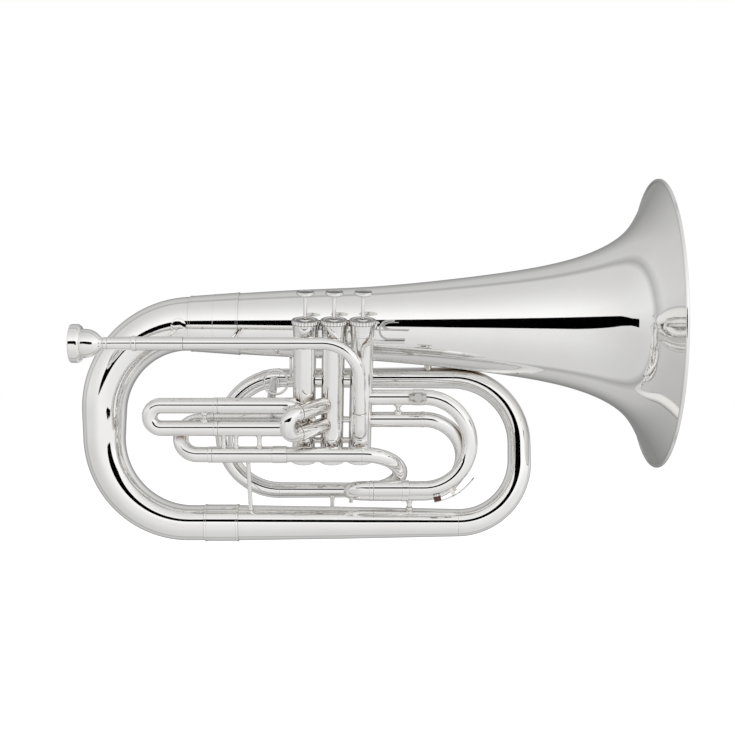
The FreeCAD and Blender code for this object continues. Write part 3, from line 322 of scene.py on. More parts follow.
class Skin:
    """Rings of points joined into one surface, kept with their shading directions."""

    def __init__(self):
        self.points = []
        self.normals = []
        self.faces = []

    def ring(self, centre, first, second, radius, outward, along, count, groove=0.0, grooves=0):
        """Adds a ring; outward and along give its shading direction."""
        start = len(self.points)
        axis = first.cross(second)
        if radius < 1e-6:
            self.points.append(centre.copy())
            self.normals.append(axis * along)
            return (start, 1)
        for index in range(count):
            angle = TURN * index / count
            spoke = first * math.cos(angle) + second * math.sin(angle)
            wave = math.cos(grooves * angle)
            depth = groove * (0.5 + 0.5 * wave) ** 3
            slope = 1.5 * groove * grooves * math.sin(grooves * angle) * (0.5 + 0.5 * wave) ** 2
            across = (second * math.cos(angle) - first * math.sin(angle)) * (-slope / radius)
            self.points.append(centre + spoke * (radius - depth))
            self.normals.append(((spoke + across) * outward + axis * along).normalized())
        return (start, count)

    def join(self, before, after):
        """Faces between two rings."""
        (a, count_a), (b, count_b) = before, after
        count = max(count_a, count_b)
        for index in range(count):
            after_index = (index + 1) % count
            if count_a == 1:
                self.faces.append((a, b + after_index, b + index))
            elif count_b == 1:
                self.faces.append((a + index, a + after_index, b))
            else:
                self.faces.append((a + index, a + after_index, b + after_index, b + index))


def rounded(profile, edge, closed):
    """Corners of an outline as small arcs: (along, radius, outward, along-normal) entries."""
    count = len(profile)
    entries = []
    for index in range(count):
        s, r = profile[index]
        has_before = closed or index > 0
        has_after = closed or index < count - 1
        before = profile[(index - 1) % count]
        after = profile[(index + 1) % count]
        to_before = Vector((before[0] - s, before[1] - r)) if has_before else None
        to_after = Vector((after[0] - s, after[1] - r)) if has_after else None
        if to_before is None or to_after is None:
            direction = to_after.normalized() if to_after else -to_before.normalized()
            entries.append((s, r, direction.x, -direction.y))
            continue
        reach = min(edge, 0.45 * to_before.length, 0.45 * to_after.length)
        way_in = -to_before.normalized()
        way_out = to_after.normalized()
        start = Vector((s, r)) - way_in * reach
        end = Vector((s, r)) + way_out * reach
        normal_in = Vector((way_in.x, -way_in.y))
        normal_out = Vector((way_out.x, -way_out.y))
        steps = 1 if way_in.dot(way_out) > 0.999 else 4
        for step in range(steps + 1):
            t = step / steps
            spot = start * (1 - t) ** 2 + Vector((s, r)) * 2 * t * (1 - t) + end * t ** 2
            normal = (normal_in * (1 - t) + normal_out * t)
            if normal.length < 1e-6:
                normal = normal_out.copy()
            normal.normalize()
            entries.append((spot.x, max(spot.y, 0.0), normal.x, normal.y))
    return entries


def signed_area(profile):
    """Area of an outline, negative when its corners run the other way round."""
    total = 0.0
    for index, (s, r) in enumerate(profile):
        after_s, after_r = profile[(index + 1) % len(profile)]
        total += s * after_r - after_s * r
    return total / 2


def lathe_into(skin, profile, start, axis, edge, count, groove=None):
    """Turns a closed outline of (distance along the axis, radius) corners.

    The groove is (from, to, depth, number) for a fluted grip.
    """
    axis = axis.normalized()
    first, second = square_to(axis)
    if signed_area(profile) > 0:
        profile = profile[::-1]
    on_axis = [index for index, (s, r) in enumerate(profile) if r < 1e-6]
    closed = not on_axis
    if on_axis:
        cut = next(i for i in on_axis if (i + 1) % len(profile) not in on_axis or len(on_axis) == 1)
        profile = profile[cut:] + profile[:cut]
        while profile[-1][1] < 1e-6 and profile[-2][1] < 1e-6:
            profile = profile[:-1]
    rings = []
    for s, r, outward, along in rounded(profile, edge, closed):
        depth, number = 0.0, 0
        if groove and groove[0] < s < groove[1]:
            depth, number = groove[2], groove[3]
        rings.append(skin.ring(start + axis * s, first, second, r, outward, along, count, depth, number))
    for before, after in zip(rings, rings[1:]):
        skin.join(before, after)
    if closed:
        skin.join(rings[-1], rings[0])


def lathe(name, node, parts, edge, count, groove=None, **looks):
    """One piece from several turned outlines given as (profile, start, axis)."""
    skin = Skin()
    for profile, start, axis in parts:
        lathe_into(skin, profile, start, axis, edge, count, groove)
    make_object(name, skin, node, **looks)


class Run:
    """The centre line of a tube, followed piece by piece, with its outside radius at each place."""

    def __init__(self, start, heading, radius):
        self.point = Vector(start)
        self.heading = Vector(heading).normalized()
        self.first, self.second = square_to(self.heading)
        self.radius = radius
        self.length = 0.0
        self.places = []
        self.mark()

    def mark(self):
        """Notes the present place."""
        self.places.append((self.point.copy(), self.first.copy(), self.second.copy(), self.radius))

    def straight(self, length, radius=None):
        """Goes straight on, tapering evenly to the new radius."""
        end_radius = self.radius if radius is None else radius
        steps = max(1, int(length / 12.0))
        start_radius = self.radius
        for step in range(1, steps + 1):
            self.point = self.point + self.heading * (length / steps)
            self.radius = start_radius + (end_radius - start_radius) * step / steps
            self.mark()
        return self

    def bend(self, bend_radius, degrees, toward, radius=None):
        """Turns on an arc towards a direction, tapering evenly to the new radius."""
        end_radius = self.radius if radius is None else radius
        side = Vector(toward).normalized()
        hub = self.point + side * bend_radius
        axis = self.heading.cross(side).normalized()
        steps = max(6, int(degrees / 2.5))
        start_radius = self.radius
        turn = Quaternion(axis, math.radians(degrees / steps))
        for step in range(1, steps + 1):
            self.point = hub + turn @ (self.point - hub)
            self.first = turn @ self.first
            self.second = turn @ self.second
            self.radius = start_radius + (end_radius - start_radius) * step / steps
            self.mark()
        self.heading = self.first.cross(self.second).normalized()
        return self


def tube_into(skin, run, wall=TUBE_WALL, growth=0.0, count=64):
    """A tube along a run, open at both ends, with rounded rims."""
    lip = min(0.2, wall * 0.4)
    places = run.places
    rings = []

    def add(place, shift, offset, outward, along):
        point, first, second, radius = place
        axis = first.cross(second)
        rings.append(skin.ring(point + axis * shift, first, second, radius + growth + offset,
                               outward, along, count))

    start, end = places[0], places[-1]
    add(start, 0.0, -lip, 0, -1)
    add(start, lip * 0.3, -lip * 0.3, 0.7, -0.7)
    add(start, lip, 0.0, 1, 0)
    for place in places[1:-1]:
        add(place, 0.0, 0.0, 1, 0)
    add(end, -lip, 0.0, 1, 0)
    add(end, -lip * 0.3, -lip * 0.3, 0.7, 0.7)
    add(end, 0.0, -lip, 0, 1)
    add(end, 0.0, lip - wall, 0, 1)
    add(end, -lip * 0.3, lip * 0.3 - wall, -0.7, 0.7)
    add(end, -lip, -wall, -1, 0)
    for place in places[-2:0:-1]:
        add(place, 0.0, -wall, -1, 0)
    add(start, lip, -wall, -1, 0)
    add(start, lip * 0.3, lip * 0.3 - wall, -0.7, -0.7)
    add(start, 0.0, lip - wall, 0, -1)
    for before, after in zip(rings, rings[1:]):
        skin.join(before, after)
    skin.join(rings[-1], rings[0])


def tubes(name, node, *runs, count=64):
    """One piece from several tubes."""
    skin = Skin()
    for run in runs:
        tube_into(skin, run, count=count)
    make_object(name, skin, node)


def bar_into(skin, run, count=24):
    """A solid round wire along a run, with domed ends."""
    rings = []
    start, end = run.places[0], run.places[-1]

    def add(place, shift, share, outward, along):
        point, first, second, radius = place
        axis = first.cross(second)
        rings.append(skin.ring(point + axis * (shift * radius), first, second, radius * share,
                               outward, along, count))

    add(start, 0.0, 0.0, 0, -1)
    add(start, 0.05, 0.7, 0.35, -0.94)
    add(start, 0.3, 1.0, 1, 0)
    for place in run.places[1:-1]:
        add(place, 0.0, 1.0, 1, 0)
    add(end, -0.3, 1.0, 1, 0)
    add(end, -0.05, 0.7, 0.35, 0.94)
    add(end, 0.0, 0.0, 0, 1)
    for before, after in zip(rings, rings[1:]):
        skin.join(before, after)


# ---------------- places shared with the part

def valve_frame():
    """Upward, rearward and sideways directions of the leaning valves."""
    lean = math.radians(VALVE_LEAN)
    tilt = math.radians(VALVE_TILT)
    upward = Vector((math.sin(lean), -math.sin(tilt) * math.cos(lean), math.cos(tilt) * math.cos(lean)))
    rearward = (REAR - upward * REAR.dot(upward)).normalized()
    return upward, rearward, rearward.cross(upward)


VALVE_UP, VALVE_REAR, VALVE_SIDE = valve_frame()
VALVE_DOWN = -VALVE_UP


def on_valve(index, depth):
    """A place on a valve's axis, a depth below its top cap."""
    return VALVE_TOP + RIGHT * (VALVE_PITCH * index) - VALVE_UP * depth


def depth_at(z):
    """How far down a valve a height lies."""
    return (VALVE_TOP.z - z) / VALVE_UP.z


def ferrule_bore(x):
    """Inside radius of the tapered ferrule behind the bell."""
    share = (x - BIG_BOW_X) / (BELL_END_X - BIG_BOW_X)
    return BIG_BOW_TOP_R + (BELL_END_R - BIG_BOW_TOP_R) * share


def at(x, level):
    """A place on a level tube."""
    return Vector((x, level.y, level.z))


def big_bow_run():
    """The big left bow, from the bell's ferrule down to the bottom branch."""
    run = Run((SPLICE_X, 0, 0), LEFT, ferrule_bore(SPLICE_X))
    run.straight(SPLICE_X - BIG_BOW_X, BIG_BOW_TOP_R)
    run.bend(BIG_BOW_BEND, 90, DOWN, BOW_SHOULDER_R)
    run.straight(-BOTTOM_Z - 2 * BIG_BOW_BEND, BOW_FOOT_R)
    run.bend(BIG_BOW_BEND, 90, RIGHT, BRANCH_R)
    return run.straight(LOWER_SPLICE_X - BIG_BOW_X)


def bottom_branch_run():
    """The tapered branch along the bottom."""
    run = Run((LOWER_SPLICE_X, 0, BOTTOM_Z), RIGHT, BRANCH_R)
    run.straight(BRANCH_LEVEL_LENGTH)
    run.straight(BRANCH_TAPER_LENGTH, BRANCH_MIDDLE_R)
    rest = RIGHT_BOW_X - LOWER_SPLICE_X - BRANCH_LEVEL_LENGTH - BRANCH_TAPER_LENGTH
    return run.straight(rest, BRANCH_END_R)


def right_bow_run():
    """The right-hand bow, from the bottom branch up to the top one."""
    rise = Vector((0, TOP_BRANCH_Y, TOP_BRANCH_Z - BOTTOM_Z))
    run = Run((RIGHT_BOW_X, 0, BOTTOM_Z), RIGHT, BRANCH_END_R)
    run.bend(RIGHT_BOW_LOWER_BEND, 90, rise, RIGHT_BOW_WAIST_R)
    run.straight(rise.length - RIGHT_BOW_LOWER_BEND - RIGHT_BOW_UPPER_BEND, RIGHT_BOW_WAIST_R - 0.2)
    return run.bend(RIGHT_BOW_UPPER_BEND, 90, LEFT, TOP_BRANCH_R)


def top_branch_run():
    """The branch under the bell."""
    start_x = RIGHT_BOW_X + RIGHT_BOW_LOWER_BEND - RIGHT_BOW_UPPER_BEND
    run = Run((start_x, TOP_BRANCH_Y, TOP_BRANCH_Z), LEFT, TOP_BRANCH_R)
    return run.straight(start_x - INNER_BOW_X, INNER_BOW_R)


def inner_bow_run(degrees=180):
    """The bow inside the big one; fewer degrees give its ferrule."""
    drop = Vector((0, SPIRAL_Y - TOP_BRANCH_Y, SPIRAL_Z - TOP_BRANCH_Z))
    end_radius = INNER_BOW_R - degrees * (INNER_BOW_R - INNER_BOW_END_R) / 180
    run = Run((INNER_BOW_X, TOP_BRANCH_Y, TOP_BRANCH_Z), LEFT, INNER_BOW_R)
    return run.bend(drop.length / 2, degrees, drop, end_radius)


def spiral_run():
    """The leg from the inner bow to the small U bow."""
    run = Run((INNER_BOW_X, SPIRAL_Y, SPIRAL_Z), RIGHT, INNER_BOW_END_R)
    return run.straight(U_TURN_X - INNER_BOW_X, SPIRAL_END_R)


def u_turn_run():
    """The small U bow that turns back to the long leg."""
    across = Vector((0, SPIRAL_Y - LONG_TUBE_Y, SPIRAL_Z - LONG_TUBE_Z))
    run = Run((U_TURN_X, LONG_TUBE_Y, LONG_TUBE_Z), RIGHT, LOOP_R)
    return run.bend(across.length / 2, 180, across, SPIRAL_END_R)


def level_run(start_x, end_x, level, radius):
    """A straight tube along X."""
    return Run((start_x, level.y, level.z), RIGHT, radius).straight(end_x - start_x)


def loop_run(top, bottom):
    """A loop of the third valve, from its casing round to its slide."""
    drop = bottom - top
    run = Run((on_valve(2, depth_at(top.z)).x + 6.0, top.y, top.z), RIGHT, LOOP_R)
    run.straight(LOOP_BOW_X - run.point.x)
    run.bend(drop.length / 2, 180, drop)
    return run.straight(LOOP_BOW_X - THIRD_SLEEVE_END_X)


def first_sleeve_run(level):
    """A sleeve of the first slide, turned back towards its casing."""
    run = Run((FIRST_JOINT_X + SLIDE_GAP, level.y, level.z), RIGHT, SLEEVE_R)
    run.straight(FIRST_TURN_X - FIRST_JOINT_X - SLIDE_GAP)
    run.bend(FIRST_TURN_BEND, 90, REAR)
    return run.straight(3.0)


SECOND_WAY = (-VALVE_REAR - VALVE_SIDE * 0.95).normalized()
LONG_LEVEL = Vector((0, LONG_TUBE_Y, LONG_TUBE_Z))
MAIN_LEVEL = Vector((0, MAIN_UPPER_Y, MAIN_UPPER_Z))
LEAD_LEVEL = Vector((0, LEAD_Y, LEAD_Z))
BOTTOM_LEVEL = Vector((0, 0, BOTTOM_Z))
SPIRAL_LEVEL = Vector((0, SPIRAL_Y, SPIRAL_Z))


def leadpipe_run():
    """The leadpipe, bent down in front of the third valve."""
    run = Run((LEAD_SLEEVE_END_X + 0.1, LEAD_Y, LEAD_Z), RIGHT, LEAD_R)
    run.straight(LEAD_BEND_X - run.point.x)
    run.bend(LEAD_BEND, 90, VALVE_DOWN, LEAD_R)
    return run.straight(40.0)


def lead_elbow_run():
    """The ferrule that turns the leadpipe back into the third casing."""
    end = leadpipe_run()
    run = Run(end.point - end.heading * 6.0, end.heading, LEAD_SLEEVE_R)
    run.straight(13.5)
    run.bend(9.0, 90, VALVE_REAR)
    return run.straight(9.0)


# ---------------- bell

def natural_spline(values, positions):
    """Second derivatives of a smooth curve through the values."""
    count = len(values)
    upper = [0.0] * count
    bend = [0.0] * count
    for i in range(1, count - 1):
        before = positions[i] - positions[i - 1]
        after = positions[i + 1] - positions[i]
        share = before / (before + after)
        pivot = share * bend[i - 1] + 2.0
        bend[i] = (share - 1.0) / pivot
        slope = (values[i + 1] - values[i]) / after - (values[i] - values[i - 1]) / before
        upper[i] = (6.0 * slope / (before + after) - share * upper[i - 1]) / pivot
    for i in range(count - 2, -1, -1):
        bend[i] = bend[i] * bend[i + 1] + upper[i]
    return bend


def spline_at(values, positions, bends, index, share):
    """Value and slope inside one span of a smooth curve."""
    span = positions[index + 1] - positions[index]
    a, b = 1.0 - share, share
    value = a * values[index] + b * values[index + 1]
    value += ((a ** 3 - a) * bends[index] + (b ** 3 - b) * bends[index + 1]) * span ** 2 / 6.0
    slope = (values[index + 1] - values[index]) / span
    slope += ((1 - 3 * a * a) * bends[index] + (3 * b * b - 1) * bends[index + 1]) * span / 6.0
    return value, slope


def bell_places():
    """Fine (x, radius, shading direction) places along the outside of the bell."""
    xs = [x for x, r in BELL_OUTLINE]
    rs = [r for x, r in BELL_OUTLINE]
    along = [0.0]
    for (x0, r0), (x1, r1) in zip(BELL_OUTLINE, BELL_OUTLINE[1:]):
        along.append(along[-1] + math.hypot(x1 - x0, r1 - r0))
    bend_x = natural_spline(xs, along)
    bend_r = natural_spline(rs, along)
    places = []
    for index in range(len(xs) - 1):
        steps = 14
        for step in range(steps + (index == len(xs) - 2)):
            x, dx = spline_at(xs, along, bend_x, index, step / steps)
            r, dr = spline_at(rs, along, bend_r, index, step / steps)
            length = math.hypot(dx, dr)
            places.append((x, r, dx / length, -dr / length))
    return places


def make_bell():
    """The flared bell sheet and the wire round its edge."""
    skin = Skin()
    count = 192
    tail_slope = (BELL_END_R - ferrule_bore(SPLICE_X)) / (BELL_END_X - SPLICE_X)
    outer = [(SPLICE_X + 0.05, ferrule_bore(SPLICE_X), 1.0, -tail_slope)] + bell_places()
    rings = []
    for x, r, outward, along in outer:
        rings.append(skin.ring(Vector((x, 0, 0)), REAR, UP, r, outward, along, count))
    for x, r, outward, along in outer[::-1]:
        centre = Vector((x - BELL_WALL * along, 0, 0))
        rings.append(skin.ring(centre, REAR, UP, r - BELL_WALL * outward, -outward, -along, count))
    for before, after in zip(rings, rings[1:]):
        skin.join(before, after)
    skin.join(rings[-1], rings[0])
    make_object("bell_flare", skin, "bell")
    inner_r = BELL_MOUTH_R - 3.2
    rim = [(-3.4, inner_r), (-3.6, BELL_MOUTH_R - 0.9), (-2.6, BELL_MOUTH_R), (-0.9, BELL_MOUTH_R),
           (0.0, BELL_MOUTH_R - 0.9), (0.0, inner_r + 0.8), (-0.7, inner_r)]
    lathe("bell_edge_wire", "bell_rim", [(rim, Vector((0, 0, 0)), RIGHT)], 0.9, count)


# ---------------- large tubing

def make_large_tubing():
    """The bows and branches, each a tapered tube."""
    long_leg = level_run(LONG_TUBE_START_X, U_TURN_X, LONG_LEVEL, LOOP_R)
    pieces = (("big_left_bow", big_bow_run(), "big_bow", 96),
              ("lower_branch", bottom_branch_run(), "bottom_branch", 96),
              ("right_hand_bow", right_bow_run(), "right_bow", 96),
              ("upper_branch", top_branch_run(), "top_branch", 96),
              ("inner_left_bow", inner_bow_run(), "inner_bow", 80),
              ("spiral_leg", spiral_run(), "spiral_tube", 64),
              ("u_shaped_bow", u_turn_run(), "u_turn", 64),
              ("long_leg", long_leg, "long_tube", 64))
    for name, run, node, count in pieces:
        tubes(name, node, run, count=count)


def make_bell_ferrule():
    """The tapered ferrule behind the bell, banded at both ends, with a seam ring."""
    length = BELL_END_X - BIG_BOW_X

    def bore(s):
        return ferrule_bore(BIG_BOW_X + s)

    profile = [(0.0, bore(0) - 0.1), (0.0, bore(0) + 0.95), (2.0, bore(2) + 0.95), (2.0, bore(2) + 0.7),
               (length - 2, bore(length - 2) + 0.7), (length - 2, bore(length - 2) + 0.95),
               (length, bore(length) + 0.95), (length, bore(length) - 0.1)]
    seam = SPLICE_X - BIG_BOW_X
    ring = [(seam - 0.5, bore(seam) + 0.5), (seam - 0.35, bore(seam) + 0.86),
            (seam + 0.35, bore(seam) + 0.86), (seam + 0.5, bore(seam) + 0.5)]
    start = Vector((BIG_BOW_X, 0, 0))
    parts = [(profile, start, RIGHT), (ring, start, RIGHT)]
    lathe("bell_joint_ferrule", "bell_ferrule", parts, 0.25, 128)


def make_lower_ferrule():
    """The ferrule on the bottom branch, banded at both ends."""
    r = BRANCH_R
    end = LOWER_FERRULE_LENGTH
    profile = [(0.0, r - 0.1), (0.0, r + 1.1), (2.0, r + 1.1), (2.0, r + 0.6), (end - 2.0, r + 0.6),
               (end - 2.0, r + 1.1), (end, r + 1.1), (end, r - 0.1)]
    start = at(LOWER_FERRULE_X, BOTTOM_LEVEL)
    lathe("lower_joint_ferrule", "lower_ferrule", [(profile, start, RIGHT)], 0.25, 128)


def make_small_ferrules():
    """The ferrules where the thinner tubes join."""
    skin = Skin()
    tube_into(skin, inner_bow_run(17), 0.5, 0.45, 80)
    sleeve = [(0.0, SLEEVE_R - 0.1), (0.0, SLEEVE_R + 0.5), (6.7, SLEEVE_R + 0.5), (7.3, LOOP_R + 0.9),
              (14.1, LOOP_R + 0.9), (14.1, LOOP_R - 0.1)]
    lathe_into(skin, sleeve, at(-386.8, LONG_LEVEL), RIGHT, 0.25, 64)
    for level in (OUTER_BOTTOM, INNER_BOTTOM):
        ring = [(0.0, SLEEVE_R - 0.1), (0.0, SLEEVE_R + 0.4), (2.9, SLEEVE_R + 0.4),
                (6.5, LOOP_R + 0.8), (6.5, LOOP_R - 0.1)]
        lathe_into(skin, ring, at(THIRD_SLEEVE_END_X - 3.0, level), RIGHT, 0.2, 64)
    for level, length in ((OUTER_TOP, 11.0), (INNER_TOP, 3.0)):
        ring = [(0.0, LOOP_R - 0.1), (0.0, LOOP_R + 0.4), (length, LOOP_R + 0.4), (length, LOOP_R - 0.1)]
        lathe_into(skin, ring, at(LOOP_BOW_X - length, level), RIGHT, 0.2, 64)
    make_object("tube_ferrules", skin, "small_ferrules")


# ---------------- valves

def top_cap_profile():
    """A screwed top cap with a dished top and a long skirt."""
    return [(-0.6, STEM_HOLE_R), (-0.6, 4.6), (0.6, 5.2), (0.6, 9.8), (0.0, 10.6), (0.0, CAP_R - 0.5),
            (0.5, CAP_R), (3.4, CAP_R), (3.9, CAP_R - 0.7), (7.0, CAP_R - 1.1), (11.0, CAP_R - 1.5),
            (TOP_CAP_LENGTH, CASING_R + 0.3), (TOP_CAP_LENGTH, CASING_NECK_R),
            (NECK_START, CASING_NECK_R), (NECK_START - 0.3, STEM_HOLE_R)]


def bottom_cap_profile():
    """A screwed bottom cap with a ribbed grip and a centre boss."""
    end = VALVE_LENGTH
    start = end - BOTTOM_CAP_LENGTH
    grip = 12.7
    return [(start, CASING_NECK_R), (start, CASING_R + 0.3), (start + 6.0, 12.0), (start + 7.0, grip),
            (end - 1.0, grip), (end - 0.4, grip - 0.6), (end - 0.4, 8.5), (end - 1.2, 8.0),
            (end - 1.2, 4.0), (end, 3.2), (end, 0.0), (end - NECK_START, 0.0),
            (end - NECK_START, CASING_NECK_R)]


def casing_profile():
    """A valve casing with thinner threaded ends."""
    bottom = VALVE_LENGTH - NECK_START
    cap = VALVE_LENGTH - BOTTOM_CAP_LENGTH
    return [(NECK_START, CASING_BORE_R), (NECK_START, CASING_NECK_R - 0.05),
            (TOP_CAP_LENGTH, CASING_NECK_R - 0.05), (TOP_CAP_LENGTH, CASING_R), (cap, CASING_R),
            (cap, CASING_NECK_R - 0.05), (bottom, CASING_NECK_R - 0.05), (bottom, CASING_BORE_R)]


def make_caps():
    """The screwed caps at both ends of the three casings."""
    caps = [(top_cap_profile(), on_valve(i, 0), VALVE_DOWN) for i in range(VALVE_COUNT)]
    grip = (0.3, 3.7, 0.75, TOP_KNURL_COUNT)
    lathe("screwed_top_caps", "top_caps", caps, 0.35, 288, grip, material=TRIM)
    feet = [(bottom_cap_profile(), on_valve(i, 0), VALVE_DOWN) for i in range(VALVE_COUNT)]
    grip = (VALVE_LENGTH - BOTTOM_CAP_LENGTH + 7.2, VALVE_LENGTH - 0.9, 0.5, KNURL_COUNT)
    lathe("screwed_bottom_caps", "bottom_caps", feet, 0.35, 288, grip)


def make_valve(index):
    """One casing with its piston's stem and finger button."""
    number = str(index + 1)
    body = "valve_" + number
    top = on_valve(index, 0)
    casing = [(casing_profile(), top, VALVE_DOWN)]
    lathe("valve_tube_" + number, "valve_casing_" + number, casing, 0.2, 128)
    stem = [(-BUTTON_GAP - 0.5, 0.0), (-BUTTON_GAP - 0.5, STEM_R), (PISTON_TOP - 2.0, STEM_R),
            (PISTON_TOP - 2.0, 4.2), (PISTON_TOP + 1.4, 4.2), (PISTON_TOP + 1.4, 0.0)]
    lathe("valve_stem_" + number, "piston_stem_" + number, [(stem, top, VALVE_DOWN)], 0.3, 48,
          material=TRIM, body=body, slot="piston_metal")
    button = [(0.0, 0.0), (0.0, 3.2), (1.3, 3.4), (2.1, 7.9), (2.9, BUTTON_R), (4.9, BUTTON_R),
              (5.6, BUTTON_R - 0.5), (5.6, BUTTON_R - 1.3), (5.0, BUTTON_R - 2.6), (4.5, 0.0)]
    parts = [(button, on_valve(index, -BUTTON_GAP), VALVE_UP)]
    lathe("finger_top_" + number, "finger_button_" + number, parts, 0.6, 96, material=TRIM, body=body)


def make_valve_ties():
    """The link tubes and solid ties between neighbouring casings."""
    skin = Skin()
    reach = CASING_R - 0.6
    gap = VALVE_PITCH - 2 * reach
    for index in range(VALVE_COUNT - 1):
        start = on_valve(index, LINK_DEPTH)
        run = Run(start + VALVE_SIDE * reach, VALVE_SIDE, LINK_R).straight(gap)
        tube_into(skin, run)
        for depth in TIE_DEPTHS[index]:
            tie = [(0.0, 0.0), (0.0, TIE_R + 0.5), (1.2, TIE_R), (gap - 1.2, TIE_R),
                   (gap, TIE_R + 0.5), (gap, 0.0)]
            lathe_into(skin, tie, on_valve(index, depth) + VALVE_SIDE * reach, VALVE_SIDE, 0.6, 48)
    make_object("valve_ties", skin, "valve_links")


# ---------------- slides

def collar_into(skin, start, way, length, radius):
    """A raised collar round a tube's end."""
    ring = [(0.0, radius - 0.3), (0.0, radius + 0.15), (0.6, radius + 0.4), (length - 0.4, radius + 0.4),
            (length, radius + 0.2), (length, radius - 0.3)]
    lathe_into(skin, ring, start, way, 0.3, 64)


def crook(name, node, body, upper, lower, bow_x, joint_x, leg_reach, knob=None):
    """A slide: a bow, two collared legs of full size, and two thinner inner legs."""
    skin = Skin()
    across = lower - upper
    run = Run((joint_x, upper.y, upper.z), LEFT, LOOP_R)
    run.straight(joint_x - bow_x)
    run.bend(across.length / 2, 180, across)
    run.straight(joint_x - bow_x)
    tube_into(skin, run)
    lap = min(12.0, joint_x - bow_x - 0.5)
    for level in (upper, lower):
        leg = Run((joint_x - lap, level.y, level.z), RIGHT, LEG_R).straight(lap + leg_reach)
        tube_into(skin, leg, 0.45)
        collar_into(skin, at(joint_x - 4.0, level), RIGHT, 4.0, LOOP_R)
    if knob:
        apex = Vector((bow_x - across.length / 2, 0, 0)) + (upper + lower) * 0.5
        below = (-(RIGHT.cross(across))).normalized()
        lathe_into(skin, knob, apex, below, 0.4, 48)
    make_object(name, skin, node, body=body)


def make_slides():
    """The main, first and third slides with their sleeves and loops."""
    crook("main_crook", "main_tuning_slide", "main_slide", MAIN_LEVEL, LONG_LEVEL, MAIN_BOW_X,
          MAIN_JOINT_X, leg_reach=60.0)
    crook("first_crook", "first_slide", "first_valve_slide", FIRST_UPPER, FIRST_LOWER,
          FIRST_BOW_X, FIRST_JOINT_X, leg_reach=58.0)
    r = LOOP_R
    knob = [(r - 0.5, 0.0), (r - 0.5, 2.6), (r + 0.8, 2.6), (r + 1.8, 1.5), (r + 2.4, 2.4),
            (r + 4.2, 2.4), (r + 4.8, 1.6), (r + 4.8, 0.0)]
    crook("third_crook", "third_slide", "third_valve_slide", OUTER_BOTTOM, INNER_BOTTOM,
          THIRD_BOW_X, THIRD_JOINT_X, leg_reach=30.0, knob=knob)
    tubes("main_sleeves", "main_slide_sleeves",
          level_run(MAIN_JOINT_X + SLIDE_GAP, MAIN_SLEEVE_END_X, MAIN_LEVEL, SLEEVE_R),
          level_run(MAIN_JOINT_X + SLIDE_GAP, LONG_TUBE_START_X - 0.1, LONG_LEVEL, SLEEVE_R))
    tubes("first_sleeves", "first_slide_sleeves", first_sleeve_run(FIRST_UPPER),
          first_sleeve_run(FIRST_LOWER))
    third_ends = (THIRD_JOINT_X + SLIDE_GAP, THIRD_SLEEVE_END_X - 0.1)
    tubes("third_sleeves", "third_slide_sleeves", level_run(*third_ends, OUTER_BOTTOM, SLEEVE_R),
          level_run(*third_ends, INNER_BOTTOM, SLEEVE_R))
    tubes("third_loop_big", "third_loop_outer", loop_run(OUTER_TOP, OUTER_BOTTOM))
    tubes("third_loop_small", "third_loop_inner", loop_run(INNER_TOP, INNER_BOTTOM))
    make_second_slide()


def make_second_slide():
    """The short slanted slide of the second valve and its sleeves."""
    way = SECOND_WAY
    start = SECOND_JOINT_REACH + SLIDE_GAP
    skin = Skin()
    upper = on_valve(1, SECOND_UPPER_DEPTH)
    run = Run(upper + way * start, way, LOOP_R)
    run.straight(SECOND_BOW_REACH - start)
    run.bend((SECOND_LOWER_DEPTH - SECOND_UPPER_DEPTH) / 2, 180, VALVE_DOWN)
    run.straight(SECOND_BOW_REACH - start)
    tube_into(skin, run)
    sleeves = []
    for depth in (SECOND_UPPER_DEPTH, SECOND_LOWER_DEPTH):
        level = on_valve(1, depth)
        leg = Run(level + way * (start - 26.0), way, LEG_R).straight(29.5)
        tube_into(skin, leg, 0.45)
        collar_into(skin, level + way * start, way, 3.0, LOOP_R)
        sleeve = Run(level + way * (CASING_R - 1.0), way, SLEEVE_R)
        sleeves.append(sleeve.straight(SECOND_JOINT_REACH - CASING_R + 1.0))
    make_object("second_crook", skin, "second_slide", body="second_valve_slide")
    tubes("second_sleeves", "second_slide_sleeves", *sleeves)


# ---------------- leadpipe and mouthpiece

def trim_to_casing(skin, number):
    """Slides points that stand inside a valve's bore back towards the front, until they are in its wall."""
    wall = CASING_BORE_R + 0.4
    for point in skin.points:
        away = point - on_valve(number, 0.0)
        sideways = away.dot(VALVE_SIDE)
        rearward = away.dot(VALVE_REAR)
        if abs(sideways) < wall:
            limit = -math.sqrt(wall ** 2 - sideways ** 2)
            point -= VALVE_REAR * max(0.0, rearward - limit)


def make_leadpipe():
    """The leadpipe, and the ferrule that turns it into the third casing."""
    end = leadpipe_run()
    tubes("leadpipe_tube", "leadpipe", end)
    skin = Skin()
    tube_into(skin, lead_elbow_run())
    trim_to_casing(skin, VALVE_COUNT - 1)
    collar_into(skin, end.point - end.heading * 6.4, end.heading, 2.0, LEAD_SLEEVE_R)
    make_object("leadpipe_bend", skin, "leadpipe_elbow")


